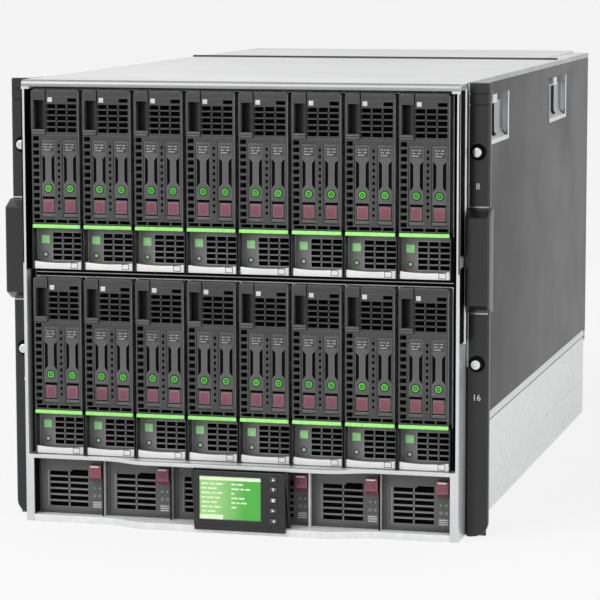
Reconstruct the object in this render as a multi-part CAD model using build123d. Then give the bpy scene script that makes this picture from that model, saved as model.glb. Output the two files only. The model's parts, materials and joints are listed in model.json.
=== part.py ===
from build123d import *
import math
import os

# A ten-unit blade server chassis. X runs across, Z is up, and Y = 0 is the plane of the
# front cage while it is modelled, with +Y to the rear. All lengths are millimetres.

# Clearances
RUN_CLEAR = 0.3          # between a sliding or tilting piece and what guides it
TANG_CLEAR = 0.15        # round the turning corners of a hinge tang
BLADE_GAP = 1.2          # between neighbouring blades

# Sheet metal of the enclosure
SHEET = 1.5
PANEL_SHEET = 1.2        # painted side panels
PANEL_INSET = 1.0        # side panels lie this far inside the base tray's walls
SIDE_SPACE = 8.3         # blade column to the outside of the base tray
TOP_RAIL_HEIGHT = 9.3
TOP_RAIL_DEPTH = 26.0
RAIL_NOSE = 5.0          # radius of the cage's rounded top edge
NOSE_FLATS = 3           # flats that make the rounded edge
RAIL_REVEAL = 2.4        # shadow gap between the rail and the blades
POST_DEPTH = 40.0        # front cage's side posts, front to back
POST_FLANGE = 3.1        # front edge of a post beside the blades
POST_REBATE = 14.0       # the rest of the post stands this far back
POST_POCKET_DEPTH = 2.0
POST_POCKET_FOOT = 190.0
POST_BAR_FOOT = 268.0    # cross bar in the pocket
POST_BAR_HEIGHT = 8.0
MID_SHELF_DEPTH = 6.8    # folded shelf between the blade rows
MID_SHELF_SETBACK = 20.0
BASE_WALL_HEIGHT = 100.0 # bare lower walls
BASE_SHORTFALL = 20.0    # base tray ends this far in front of the side panels' rear edge
PANEL_HEM = 12.0
ROOF_STEP = 2.4          # raised rear part of the roof
ROOF_STEP_INSET = 18.0
ROOF_STEP_START = 586.0

# Wavy lips above and below the power supplies
LIP_HEIGHT = 7.0
SHELF_LIP_HEIGHT = 3.6
LIP_BACK = 24.0
LIP_BULGE = 13.0         # stands out in the middle
LIP_TURN_X = 142.0
LIP_FLAT_X = 88.0

# Lift-hook plates in the side panels
HOOK_LENGTH = 117.0
HOOK_HEIGHT = 47.0
HOOK_TOP = 20.0          # below the roof
HOOK_FIRST = 145.0       # front end of the first plate
HOOK_PITCH = 376.0
HOOK_SHEET = 1.0
HOOK_SLOT = 24.0
HOOK_SLOT_HEIGHT = 33.0
HOOK_TONGUE = 9.0

# Rack ears and their captive screws
EAR_REACH = 19.8         # past the enclosure's side, 482.6 across both ears
SCREW_REACH = 11.05      # past the enclosure's side, 465.1 between the screws
RACK_UPPER_HOLE = 66.4   # below the roof
RACK_HOLES_Z = 206.4
EAR_SETBACK = 33.0
EAR_SHEET = 2.5
EAR_COVER_GAP = 1.5      # between the side post and the ear cover
EAR_COVER_OUT = 3.0      # cover reaches past the ear plate
EAR_FLANGE = 28.0
EAR_ROUND = 14.0
GRIP_OUT = 2.5
GRIP_FORWARD = 16.0
GRIP_HEIGHT = 101.0
GRIP_RISE = 50.8         # above the lower screw
GRIP_FLARE = 8.0
SCREW_R = 3.0
SCREW_HEAD_R = 5.6
SCREW_HEAD = 8.0
SCREW_HEAD_SIDES = 12
SCREW_LENGTH = 16.0      # behind the ear plate
SCREW_FLOAT = 1.3        # round the captive stud

# Blades
BLADE_COLUMNS = 8
BLADE_ROWS = 2
BLADE_PITCH = 53.3
BLADE_HEIGHT = 179.4
BLADE_DEPTH = 510.0
BLADE_WALL = 1.0
BEZEL_DEPTH = 16.0
BEZEL_WALL = 2.5
SLOT_HEIGHT = 3.8
SLOT_PITCH = 6.1
UPPER_SLOTS = 5
LOWER_SLOTS = 5
GRILLE_WIDTH = 31.5
GRILLE_MARGIN = 3.6      # from the blade's right side
UPPER_TOP_MARGIN = 13.3  # above the upper grille
UPPER_FOOT_MARGIN = 5.7  # below it
LOWER_FOOT_MARGIN = 7.3
LOWER_TOP_MARGIN = 3.4
LIGHT_BAR_HEIGHT = 4.6
LIGHT_BAR_DEPTH = 3.0
VENT_BAND = 6.5          # between the light bar and the drives
TAB_WIDTH = 12.8         # pull-tab recess
TAB_HEIGHT = 29.0
TAB_DEPTH = 7.0
TAB_SIDE_MARGIN = 3.6
TAB_TOP_MARGIN = 10.6
DRIVE_WIDTH = 15.0
DRIVE_PITCH = 22.6
DRIVE_OFFSET = 3.2       # the pair's middle lies right of the blade's
DRIVE_DEPTH = 100.0
DRIVE_SETBACK = 2.2
DRIVE_RELIEF = 1.6
DRIVE_HEAD = 14.3
DRIVE_NECK = 26.0
DRIVE_NECK_WIDTH = 6.6
DRIVE_SHIELD = 19.0
DRIVE_BUTTON_WIDTH = 10.4
DRIVE_BUTTON_HEIGHT = 12.0
DRIVE_BUTTON_FOOT = 5.5
BOARD_THICKNESS = 1.6
BOARD_MARGIN = 10.0
CONNECTOR_WIDTH = 20.0
CONNECTOR_HEIGHT = 90.0
CONNECTOR_LENGTH = 12.0

# Ejector lever at the foot of each blade
LEVER_THICKNESS = 3.5
LEVER_HEIGHT = 7.6
LEVER_FRONT = 4.0        # behind the bezel's front
LEVER_FOOT = 0.6
LEVER_SCOOP = 2.2        # depth of the finger scoop
LEVER_SHOULDER = 8.0     # slope at each end of the scoop
LEVER_TANG = 1.8         # square tang that turns in a window of the case
LEVER_TANG_HEIGHT = 3.5  # above the blade's underside
CHEEK_FRONT = 3.0        # case cheeks that carry the lever

# Power supplies
PSU_COUNT = 6
PSU_HEIGHT = 56.7
PSU_HEAD_ROOM = 0.6
PSU_DEPTH = 480.0
PSU_SETBACK = 12.0
PSU_SIDE_CLEAR = 0.5     # to the divider
DIVIDER_SETBACK = 6.0
PSU_WALL = 1.0
PSU_FACE = 3.0
PSU_SLOT_ROWS = 6
PSU_SLOT_WIDTH = 40.5
PSU_SLOT_HEIGHT = 4.2
PSU_SLOT_PITCH = 6.3
PSU_GRILLE_FOOT = 6.8
PSU_GRILLE_MARGIN = 11.1 # from the face's left side
LATCH_WIDTH = 12.3
LATCH_HEIGHT = 17.5
LATCH_OUT = 8.0
LATCH_STEM = 6.0
LATCH_STEM_LENGTH = 8.0
LATCH_TRAVEL = 3.0
LATCH_SIDE = 1.0         # from the face's right side
LATCH_TOP = 5.5          # from the face's top

# Display between the lips
DISPLAY_WIDTH = 93.0
DISPLAY_THICKNESS = 10.0
DISPLAY_PROUD = 4.0      # in front of the lips
DISPLAY_SHIFT = 6.0      # right of the middle
DISPLAY_FOOT = 3.5       # chin's foot, in front of the lower lip
DISPLAY_FOOT_ROOM = 2.2  # lets the foot swing over the lower lip
DISPLAY_HEAD_ROOM = 1.6  # lets the head swing under the upper lip
DISPLAY_BACK_ROOM = 1.0  # lets the head swing past the carriage
DISPLAY_TANG = 2.0       # square hinge tang
DISPLAY_TANG_INSET = 3.2  # from the panel's top and front
DISPLAY_TANG_ROOT = 2.0
DISPLAY_CHIN_SLOPE = 1.2
SCREEN_FOOT = 11.3       # above the chin's foot
SCREEN_WIDTH = 62.6
SCREEN_MARGIN = 5.7
SCREEN_TOP = 5.3
SCREEN_DEPTH = 1.2
KEY_WIDTH = 8.0
KEY_HEIGHT = 5.0
KEY_PITCH = 10.4
KEY_TOP = 3.0            # panel's top to the first key
KEY_MARGIN = 7.5         # from the panel's right side
KEY_PROUD = 1.4
KEY_DEPTH = 6.0
KEY_TRAVEL = 1.0
KEY_NAMES = ["up", "down", "ok", "right", "left"]
CARRIAGE_SHEET = 2.0
CARRIAGE_RUNNER = 5.0

# Midplane and rear modules
MIDPLANE_THICKNESS = 4.0
MIDPLANE_SIDE_GAP = 1.0
SOCKET_LENGTH = 6.0
REAR_ZONE = 278.0
MODULE_GAP = 0.6
FAN_COLUMNS = 5
FAN_HEIGHT = 97.0
FAN_BORE_R = 36.0
FAN_BORE_DEPTH = 40.0
FAN_DUCT_SIDES = 8
MANAGER_COLUMNS = 3
MANAGER_HEIGHT = 32.0
SWITCH_COLUMNS = 2
SWITCH_ROWS = 4
PORT_FIELD_MARGIN = 16.0
PORT_FIELD_SHARE = 0.5
PORT_DEPTH = 9.0
INLET_WIDTH = 27.0
INLET_HEIGHT = 21.0
INLET_DEPTH = 16.0
INLET_GAP = 52.9         # from a supply's back to its inlet module

# Levels and places that follow from the sizes above
blade_width = BLADE_PITCH - BLADE_GAP
field = BLADE_COLUMNS * BLADE_PITCH
width = field + 2 * SIDE_SPACE
post_inner = field / 2
psu_foot = LIP_HEIGHT + RUN_CLEAR
shelf_lip_foot = psu_foot + PSU_HEIGHT + PSU_HEAD_ROOM
shelf_foot = shelf_lip_foot + SHELF_LIP_HEIGHT
lower_row = shelf_foot + RUN_CLEAR
mid_shelf_foot = lower_row + BLADE_HEIGHT + RUN_CLEAR
upper_row = mid_shelf_foot + MID_SHELF_DEPTH + RUN_CLEAR
row_pitch = upper_row - lower_row
rail_foot = upper_row + BLADE_HEIGHT + RUN_CLEAR
height = upper_row + BLADE_HEIGHT + TOP_RAIL_HEIGHT
midplane_front = BLADE_DEPTH + CONNECTOR_LENGTH + SOCKET_LENGTH + RUN_CLEAR
rear_front = midplane_front + MIDPLANE_THICKNESS
depth = rear_front + REAR_ZONE
psu_pitch = field / PSU_COUNT
psu_width = psu_pitch - SHEET - 2 * PSU_SIDE_CLEAR
display_front = -LIP_BULGE - DISPLAY_PROUD
screw_window = 2 * (SCREW_R + SCREW_FLOAT)
ear_edge = width / 2 + EAR_REACH
screw_x = width / 2 + SCREW_REACH
middle_y = (display_front - KEY_PROUD + depth) / 2

# Heights on one blade's face
light_bar_foot = LOWER_FOOT_MARGIN + LOWER_SLOTS * SLOT_PITCH + LOWER_TOP_MARGIN
drive_foot = light_bar_foot + LIGHT_BAR_HEIGHT + VENT_BAND
upper_grille_foot = BLADE_HEIGHT - UPPER_TOP_MARGIN - UPPER_SLOTS * SLOT_PITCH
drive_height = upper_grille_foot - UPPER_FOOT_MARGIN - drive_foot
grille_right = blade_width / 2 - GRILLE_MARGIN
lever_tang_y = LEVER_FRONT + LEVER_THICKNESS / 2
module_front = rear_front + MODULE_GAP
module_rear = depth - BASE_SHORTFALL


def block(x0, x1, y0, y1, z0, z1):
    """A rectangular solid between two opposite corners."""
    centre = Pos((x0 + x1) / 2, (y0 + y1) / 2, (z0 + z1) / 2)
    return centre * Box(x1 - x0, y1 - y0, z1 - z0)


def square_x(x0, x1, y, z, side):
    """A square bar along X, centred on a line in Y and Z."""
    return block(x0, x1, y - side / 2, y + side / 2, z - side / 2, z + side / 2)


def turning_window(tang):
    """Side of a square window in which a square tang can turn."""
    return tang * 2 ** 0.5 + 2 * TANG_CLEAR


def square_y(x, y0, y1, z, side):
    """A square bar along Y, centred on a line in X and Z."""
    return block(x - side / 2, x + side / 2, y0, y1, z - side / 2, z + side / 2)


def many_sided_y(x, y0, y1, z, radius, sides):
    """A regular many-sided bar along Y."""
    outline = RegularPolygon(radius, sides)
    return Pos(x, y1, z) * Rot(90, 0, 0) * extrude(outline, amount=y1 - y0)


def prism_x(points, x0, x1):
    """A profile of (y, z) points drawn out along X."""
    face = make_face(Polyline(*[(x0, y, z) for y, z in points], close=True))
    return extrude(face, amount=x1 - x0, dir=(1, 0, 0))


def prism_y(points, y0, y1):
    """A profile of (x, z) points drawn out along Y."""
    face = make_face(Polyline(*[(x, y0, z) for x, z in points], close=True))
    return extrude(face, amount=y1 - y0, dir=(0, 1, 0))


def prism_z(points, z0, z1):
    """A profile of (x, y) points drawn out along Z."""
    face = make_face(Polyline(*[(x, y, z0) for x, y in points], close=True))
    return extrude(face, amount=z1 - z0, dir=(0, 0, 1))


def mirrored(piece):
    """The same piece on the other side of the X = 0 plane."""
    return mirror(piece, about=Plane.YZ)


def save(node, *pieces):
    """Write one node, moved so that the origin lies under the middle of the whole."""
    solids = [solid for piece in pieces for solid in piece.solids()]
    moved = [Pos(0, -middle_y, 0) * solid for solid in solids]
    export_step(Compound(children=moved), f"parts/{node}.step")


def s_curve(start, end):
    """Two equal arcs that leave and arrive along -X."""
    middle = ((start[0] + end[0]) / 2, (start[1] + end[1]) / 2)
    first = TangentArc(start, middle, tangent=(-1, 0))
    return first, TangentArc(middle, end, tangent=first % 1)


def wavy_lip(z0, z1):
    """The lip that bulges forward in the middle in one smooth S at each side."""
    right = [(post_inner, 0), (LIP_TURN_X, 0), (LIP_FLAT_X, -LIP_BULGE)]
    left = [(-x, y) for x, y in reversed(right)]
    edges = [
        Line((post_inner, LIP_BACK), right[0]),
        Line(right[0], right[1]),
        *s_curve(right[1], right[2]),
        Line(right[2], left[0]),
        *s_curve(left[0], left[1]),
        Line(left[1], left[2]),
        Line(left[2], (-post_inner, LIP_BACK)),
        Line((-post_inner, LIP_BACK), (post_inner, LIP_BACK)),
    ]
    return extrude(Pos(0, 0, z0) * make_face(edges), amount=z1 - z0)


def base_tray():
    """Floor and bare lower walls folded from one sheet, the lower lip and the dividers."""
    half = width / 2
    rear = depth - BASE_SHORTFALL
    tray = block(-half, half, POST_DEPTH, rear, 0, BASE_WALL_HEIGHT)
    tray -= block(SHEET - half, half - SHEET, POST_DEPTH, rear, SHEET, BASE_WALL_HEIGHT)
    floor = block(-post_inner, post_inner, LIP_BACK, POST_DEPTH, 0, SHEET)
    dividers = []
    for index in range(1, PSU_COUNT):
        x = -field / 2 + index * psu_pitch
        left, right = x - SHEET / 2, x + SHEET / 2
        wall = block(left, right, LIP_BACK, PSU_DEPTH, SHEET, shelf_foot - SHEET)
        nose = block(left, right, DIVIDER_SETBACK, LIP_BACK, LIP_HEIGHT, shelf_lip_foot)
        dividers.append(wall + nose)
    return tray + floor, wavy_lip(0, LIP_HEIGHT), *dividers


def nose(inset):
    """Side profile of the cage's rounded top edge, or of a line the given distance inside it."""
    radius = RAIL_NOSE - inset
    turns = [math.pi / 2 * step / NOSE_FLATS for step in range(NOSE_FLATS + 1)]
    centre = height - RAIL_NOSE
    return [(RAIL_NOSE - radius * math.cos(turn), centre + radius * math.sin(turn)) for turn in turns]


def front_post():
    """Right side post of the front cage: thin front edge, rebate, sloped pocket with its cross bar."""
    outer = width / 2
    post = prism_x([(0, 0), *nose(0), (POST_DEPTH, height), (POST_DEPTH, 0)], post_inner, outer)
    post -= block(post_inner, outer - POST_FLANGE, 0, POST_REBATE, shelf_foot, rail_foot)
    floor_x = outer - POST_POCKET_DEPTH
    top = height - TOP_RAIL_HEIGHT / 2
    slope = POST_POCKET_DEPTH
    for low, high in [(POST_POCKET_FOOT, POST_BAR_FOOT), (POST_BAR_FOOT + POST_BAR_HEIGHT, top)]:
        profile = [(floor_x, low + slope), (outer, low), (outer, high), (floor_x, high - slope)]
        post -= prism_y(profile, SHEET * 2, EAR_SETBACK)
    return post


def front_frame():
    """Silver cage: posts, top rail, folded middle shelf, lower shelf and its lip."""
    post = front_post()
    foot = rail_foot + RAIL_REVEAL
    outside = [(0, foot), *nose(0), (TOP_RAIL_DEPTH, height)]
    inside = [(SHEET, foot), *nose(SHEET), (TOP_RAIL_DEPTH, height - SHEET)]
    rail = prism_x([*outside, *reversed(inside)], -post_inner, post_inner)
    top = mid_shelf_foot + MID_SHELF_DEPTH
    channel = [
        (MID_SHELF_SETBACK, mid_shelf_foot), (MID_SHELF_SETBACK, top),
        (BLADE_DEPTH, top), (BLADE_DEPTH, mid_shelf_foot),
        (BLADE_DEPTH - SHEET, mid_shelf_foot), (BLADE_DEPTH - SHEET, top - SHEET),
        (MID_SHELF_SETBACK + SHEET, top - SHEET), (MID_SHELF_SETBACK + SHEET, mid_shelf_foot),
    ]
    middle = prism_x(channel, -post_inner, post_inner)
    lower = block(-post_inner, post_inner, LIP_BACK, BLADE_DEPTH, shelf_foot - SHEET, shelf_foot)
    return post, mirrored(post), rail, middle, lower, wavy_lip(shelf_lip_foot, shelf_foot)


def hook_places():
    """Front end and foot of each lift-hook plate along one side."""
    foot = height - HOOK_TOP - HOOK_HEIGHT
    return [(HOOK_FIRST + index * HOOK_PITCH, foot) for index in range(2)]


def side_panel():
    """Right painted panel: sheet with a top and a rear hem, cut out for the lift plates."""
    outer = width / 2 - PANEL_INSET
    inner = outer - PANEL_SHEET
    roof_foot = height - SHEET
    panel = block(inner, outer, POST_DEPTH, depth, BASE_WALL_HEIGHT - PANEL_HEM, roof_foot)
    panel += block(post_inner, outer, POST_DEPTH, depth, roof_foot - PANEL_SHEET, roof_foot)
    panel += block(post_inner, outer, depth - PANEL_SHEET, depth, BASE_WALL_HEIGHT, roof_foot)
    for start, foot in hook_places():
        panel -= block(inner, outer, start, start + HOOK_LENGTH, foot, foot + HOOK_HEIGHT)
    wall = width / 2 - SHEET
    panel -= block(wall, outer, POST_DEPTH, depth, BASE_WALL_HEIGHT - PANEL_HEM, BASE_WALL_HEIGHT)
    return panel


def hook_plate(start, foot):
    """Pressed lift plate: shallow dish with a hook slot and a tongue hanging over it."""
    outer = width / 2 - PANEL_INSET
    back = post_inner + RUN_CLEAR
    end, top = start + HOOK_LENGTH, foot + HOOK_HEIGHT
    middle = (start + end) / 2
    dish = block(back, outer, start, end, foot, top)
    dish -= block(back + HOOK_SHEET, outer, start + HOOK_SHEET, end - HOOK_SHEET, foot + HOOK_SHEET, top)
    dish += block(back + HOOK_SHEET, outer, start, end, top - HOOK_SHEET, top)
    slot_top = top - HOOK_TONGUE
    slot = block(back, outer, middle - HOOK_SLOT / 2, middle + HOOK_SLOT / 2,
                 slot_top - HOOK_SLOT_HEIGHT, slot_top)
    ramp = [(back + HOOK_SHEET, foot + HOOK_SHEET), (outer, foot + HOOK_SHEET),
            (back + HOOK_SHEET, foot + HOOK_TONGUE)]
    return dish + prism_y(ramp, start + HOOK_SHEET, end - HOOK_SHEET) - slot


def roof_panel():
    """Roof sheet with its raised rear part."""
    outer = width / 2 - PANEL_INSET
    roof = block(-outer, outer, POST_DEPTH, depth, height - SHEET, height)
    front = block(-post_inner, post_inner, TOP_RAIL_DEPTH, POST_DEPTH, height - SHEET, height)
    inset = outer - ROOF_STEP_INSET
    step = block(-inset, inset, ROOF_STEP_START, depth, height, height + ROOF_STEP)
    edges = step.edges().filter_by(GeomType.LINE).group_by(Axis.Z)[-1]
    return roof + front + chamfer(edges, ROOF_STEP / 2)


def ear_cover():
    """Right moulded ear cover: rounded strip with a flared hand grip at mid height."""
    inner = width / 2 + EAR_COVER_GAP
    outer = ear_edge + EAR_COVER_OUT
    back = POST_DEPTH
    strip = block(inner, outer, EAR_SETBACK, back, 0, height)
    foot_edge = strip.edges().filter_by(Axis.Y).sort_by(lambda edge: edge.center().X - edge.center().Z)[-1]
    strip = fillet(foot_edge, EAR_ROUND)
    grip_front = EAR_SETBACK - GRIP_FORWARD
    grip_foot = min(screw_heights()) + GRIP_RISE
    grip_top = grip_foot + GRIP_HEIGHT
    side = [
        (EAR_SETBACK, grip_foot), (grip_front, grip_foot + GRIP_FLARE), (grip_front, grip_top - GRIP_FLARE),
        (EAR_SETBACK, grip_top), (back, grip_top), (back, grip_foot),
    ]
    grip = prism_x(side, inner, outer + GRIP_OUT)
    nose = grip.edges().filter_by(Axis.Z).group_by(Axis.Y)[0]
    grip = chamfer(nose, GRIP_OUT)
    cover = strip + grip
    for z in screw_heights():
        cover -= square_y(screw_x, EAR_SETBACK, back, z, screw_window)
    return cover


def screw_heights():
    """Levels of the two captive screws on one ear."""
    upper = height - RACK_UPPER_HOLE
    return [upper, upper - RACK_HOLES_Z]


def ear_plate():
    """Right steel ear: flange on the side wall turned out to the rack post."""
    wall = width / 2
    profile = [
        (wall, POST_DEPTH), (ear_edge, POST_DEPTH), (ear_edge, POST_DEPTH + EAR_SHEET),
        (wall + EAR_SHEET, POST_DEPTH + EAR_SHEET), (wall + EAR_SHEET, POST_DEPTH + EAR_FLANGE),
        (wall, POST_DEPTH + EAR_FLANGE),
    ]
    plate = prism_z(profile, 0, height)
    for z in screw_heights():
        plate -= square_y(screw_x, POST_DEPTH, POST_DEPTH + EAR_SHEET, z, screw_window)
    return plate


def rack_screw(x, z):
    """Captive screw: round head in front of the ear cover, stud behind the plate."""
    head = many_sided_y(x, EAR_SETBACK - SCREW_HEAD, EAR_SETBACK, z, SCREW_HEAD_R, SCREW_HEAD_SIDES)
    end = POST_DEPTH + EAR_SHEET + SCREW_LENGTH
    stud = Pos(x, (EAR_SETBACK + end) / 2, z) * Rot(90, 0, 0) * Cylinder(SCREW_R, end - EAR_SETBACK)
    return head + stud


def blade_case():
    """Sheet tube of a blade, with two cheeks in front that carry the lever's tangs."""
    half = blade_width / 2
    case = block(-half, half, BEZEL_DEPTH, BLADE_DEPTH, 0, BLADE_HEIGHT)
    case -= block(BLADE_WALL - half, half - BLADE_WALL, BEZEL_DEPTH, BLADE_DEPTH,
                  BLADE_WALL, BLADE_HEIGHT - BLADE_WALL)
    cheek = block(half - BLADE_WALL, half, CHEEK_FRONT, BEZEL_DEPTH, 0, light_bar_foot)
    cheek -= square_x(half - BLADE_WALL, half, lever_tang_y, LEVER_TANG_HEIGHT, turning_window(LEVER_TANG))
    return case + cheek + mirrored(cheek)


def slot_row(left, right, foot, count, pitch, y0, y1, slot):
    """A column of equal slots, one above the other."""
    return [block(left, right, y0, y1, foot + i * pitch, foot + i * pitch + slot) for i in range(count)]


def drive_places():
    """Middle of each drive across the blade."""
    return [DRIVE_OFFSET - DRIVE_PITCH / 2, DRIVE_OFFSET + DRIVE_PITCH / 2]


def blade_bezel():
    """Moulded upper bezel: open shell with grille, pull-tab recess and two drive bays."""
    half = blade_width / 2
    left = TAB_SIDE_MARGIN - half
    tab_top = BLADE_HEIGHT - TAB_TOP_MARGIN
    bezel = block(-half, half, 0, BEZEL_DEPTH, light_bar_foot, BLADE_HEIGHT)
    bezel -= block(BEZEL_WALL - half, half - BEZEL_WALL, TAB_DEPTH + BEZEL_WALL, BEZEL_DEPTH,
                   light_bar_foot + LIGHT_BAR_HEIGHT + BEZEL_WALL, BLADE_HEIGHT - BEZEL_WALL)
    bezel -= block(left, left + TAB_WIDTH, 0, TAB_DEPTH, tab_top - TAB_HEIGHT, tab_top)
    grille_foot = upper_grille_foot + (SLOT_PITCH - SLOT_HEIGHT) / 2
    bezel -= slot_row(grille_right - GRILLE_WIDTH, grille_right, grille_foot, UPPER_SLOTS, SLOT_PITCH,
                      0, TAB_DEPTH + BEZEL_WALL, SLOT_HEIGHT)
    for x in drive_places():
        reach = DRIVE_WIDTH / 2 + RUN_CLEAR
        bezel -= block(x - reach, x + reach, 0, TAB_DEPTH + BEZEL_WALL,
                       drive_foot - RUN_CLEAR, drive_foot + drive_height + RUN_CLEAR)
    bezel -= block(-half, half, 0, LIGHT_BAR_DEPTH, light_bar_foot, light_bar_foot + LIGHT_BAR_HEIGHT)
    return bezel


def light_bar():
    """Green light bar let into the bezel's foot."""
    half = blade_width / 2
    return block(-half, half, 0, LIGHT_BAR_DEPTH, light_bar_foot, light_bar_foot + LIGHT_BAR_HEIGHT)


def drive(x):
    """Drive carrier: body in its bay, raised head, neck and shield, and a release button."""
    half, neck = DRIVE_WIDTH / 2, DRIVE_NECK_WIDTH / 2
    top = drive_foot + drive_height
    body = block(x - half, x + half, DRIVE_SETBACK + DRIVE_RELIEF, DRIVE_DEPTH, drive_foot, top)
    head_foot = top - DRIVE_HEAD
    shield_top = head_foot - DRIVE_NECK
    shield_foot = shield_top - DRIVE_SHIELD + half - neck
    outline = [
        (half, top), (half, head_foot), (neck, head_foot - half + neck), (neck, shield_top),
        (half, shield_top - half + neck), (half, shield_foot),
    ]
    around = [(x + dx, z) for dx, z in outline] + [(x - dx, z) for dx, z in reversed(outline)]
    relief = prism_y(around, DRIVE_SETBACK, DRIVE_SETBACK + DRIVE_RELIEF)
    reach = DRIVE_BUTTON_WIDTH / 2
    button_foot = drive_foot + DRIVE_BUTTON_FOOT
    button = block(x - reach, x + reach, DRIVE_SETBACK, DRIVE_SETBACK + DRIVE_RELIEF,
                   button_foot, button_foot + DRIVE_BUTTON_HEIGHT)
    return body + relief, button


def lower_panel():
    """Set-back grille panel behind the ejector lever."""
    half = blade_width / 2 - BLADE_WALL
    panel = block(-half, half, BEZEL_DEPTH, BEZEL_DEPTH + BEZEL_WALL, BLADE_WALL, light_bar_foot)
    foot = LOWER_FOOT_MARGIN + (SLOT_PITCH - SLOT_HEIGHT) / 2
    return panel - slot_row(grille_right - GRILLE_WIDTH, grille_right, foot, LOWER_SLOTS, SLOT_PITCH,
                            BEZEL_DEPTH, BEZEL_DEPTH + BEZEL_WALL, SLOT_HEIGHT)


def blade_inside():
    """Circuit board on the case's left wall and the connector that meets the midplane."""
    wall = BLADE_WALL - blade_width / 2
    board = block(wall, wall + BOARD_THICKNESS, DRIVE_DEPTH + BOARD_MARGIN, BLADE_DEPTH,
                  BOARD_MARGIN, BLADE_HEIGHT - BOARD_MARGIN)
    low = (BLADE_HEIGHT - CONNECTOR_HEIGHT) / 2
    edge = wall + BOARD_THICKNESS
    plug = block(edge, edge + CONNECTOR_WIDTH, BLADE_DEPTH - CONNECTOR_LENGTH, BLADE_DEPTH + CONNECTOR_LENGTH,
                 low, low + CONNECTOR_HEIGHT)
    return board, plug


def blade_lever():
    """Ejector lever: bar with a finger scoop along its top and a hinge tang at each end."""
    half = blade_width / 2 - BLADE_WALL - RUN_CLEAR
    foot, top = LEVER_FOOT, LEVER_FOOT + LEVER_HEIGHT
    scoop = half - LEVER_SHOULDER
    outline = [
        (-half, foot), (half, foot), (half, top),
        (scoop, top - LEVER_SCOOP), (-scoop, top - LEVER_SCOOP), (-half, top),
    ]
    bar = prism_y(outline, LEVER_FRONT, LEVER_FRONT + LEVER_THICKNESS)
    end = blade_width / 2
    return bar + square_x(-end, end, lever_tang_y, LEVER_TANG_HEIGHT, LEVER_TANG)


def latch_place():
    """Latch's left side and foot on a power supply face centred on X = 0."""
    return psu_width / 2 - LATCH_SIDE - LATCH_WIDTH, PSU_HEIGHT - LATCH_TOP - LATCH_HEIGHT


def power_supply():
    """Sheet case, face plate with its grille, and a back wall."""
    half = psu_width / 2
    back = PSU_DEPTH
    case = block(-half, half, PSU_SETBACK + PSU_FACE, back, 0, PSU_HEIGHT)
    case -= block(PSU_WALL - half, half - PSU_WALL, PSU_SETBACK + PSU_FACE, back - PSU_WALL,
                  PSU_WALL, PSU_HEIGHT - PSU_WALL)
    face = block(-half, half, PSU_SETBACK, PSU_SETBACK + PSU_FACE, 0, PSU_HEIGHT)
    grille_left = PSU_GRILLE_MARGIN - half
    face -= slot_row(grille_left, grille_left + PSU_SLOT_WIDTH, PSU_GRILLE_FOOT, PSU_SLOT_ROWS,
                     PSU_SLOT_PITCH, PSU_SETBACK, PSU_SETBACK + PSU_FACE, PSU_SLOT_HEIGHT)
    left, foot = latch_place()
    stem_left, stem_foot = stem_place(left, foot)
    face -= block(stem_left - LATCH_TRAVEL - RUN_CLEAR, stem_left + LATCH_STEM + RUN_CLEAR,
                  PSU_SETBACK, PSU_SETBACK + PSU_FACE,
                  stem_foot - RUN_CLEAR, stem_foot + LATCH_STEM + RUN_CLEAR)
    return face, case


def stem_place(left, foot):
    """Left side and foot of the stem behind a latch."""
    return left + (LATCH_WIDTH - LATCH_STEM) / 2, foot + (LATCH_HEIGHT - LATCH_STEM) / 2


def power_latch():
    """Thumb latch: wedge-shaped tab in front of the face and a stem through it."""
    left, foot = latch_place()
    right, top = left + LATCH_WIDTH, foot + LATCH_HEIGHT
    front, back = PSU_SETBACK - LATCH_OUT, PSU_SETBACK - RUN_CLEAR
    wedge = [(back, foot), (front, foot + LATCH_HEIGHT / 3), (front, top), (back, top)]
    tab = prism_x(wedge, left, right)
    stem_left, stem_foot = stem_place(left, foot)
    stem = block(stem_left, stem_left + LATCH_STEM, back, PSU_SETBACK + LATCH_STEM_LENGTH,
                 stem_foot, stem_foot + LATCH_STEM)
    return tab + stem


def display_levels():
    """Foot of the display's body above the lower lip, and its head."""
    return LIP_HEIGHT + DISPLAY_FOOT_ROOM, shelf_lip_foot - DISPLAY_HEAD_ROOM


def display_hinge():
    """Place of the display's hinge line in Y and Z."""
    return display_front + DISPLAY_TANG_INSET, display_levels()[1] - DISPLAY_TANG_INSET


def key_places():
    """Middle of each key in X and Z, from the top down."""
    top = display_levels()[1] - KEY_TOP - KEY_HEIGHT / 2
    x = DISPLAY_WIDTH / 2 - KEY_MARGIN - KEY_WIDTH / 2
    return [(x, top - index * KEY_PITCH) for index in range(len(KEY_NAMES))]


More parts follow.
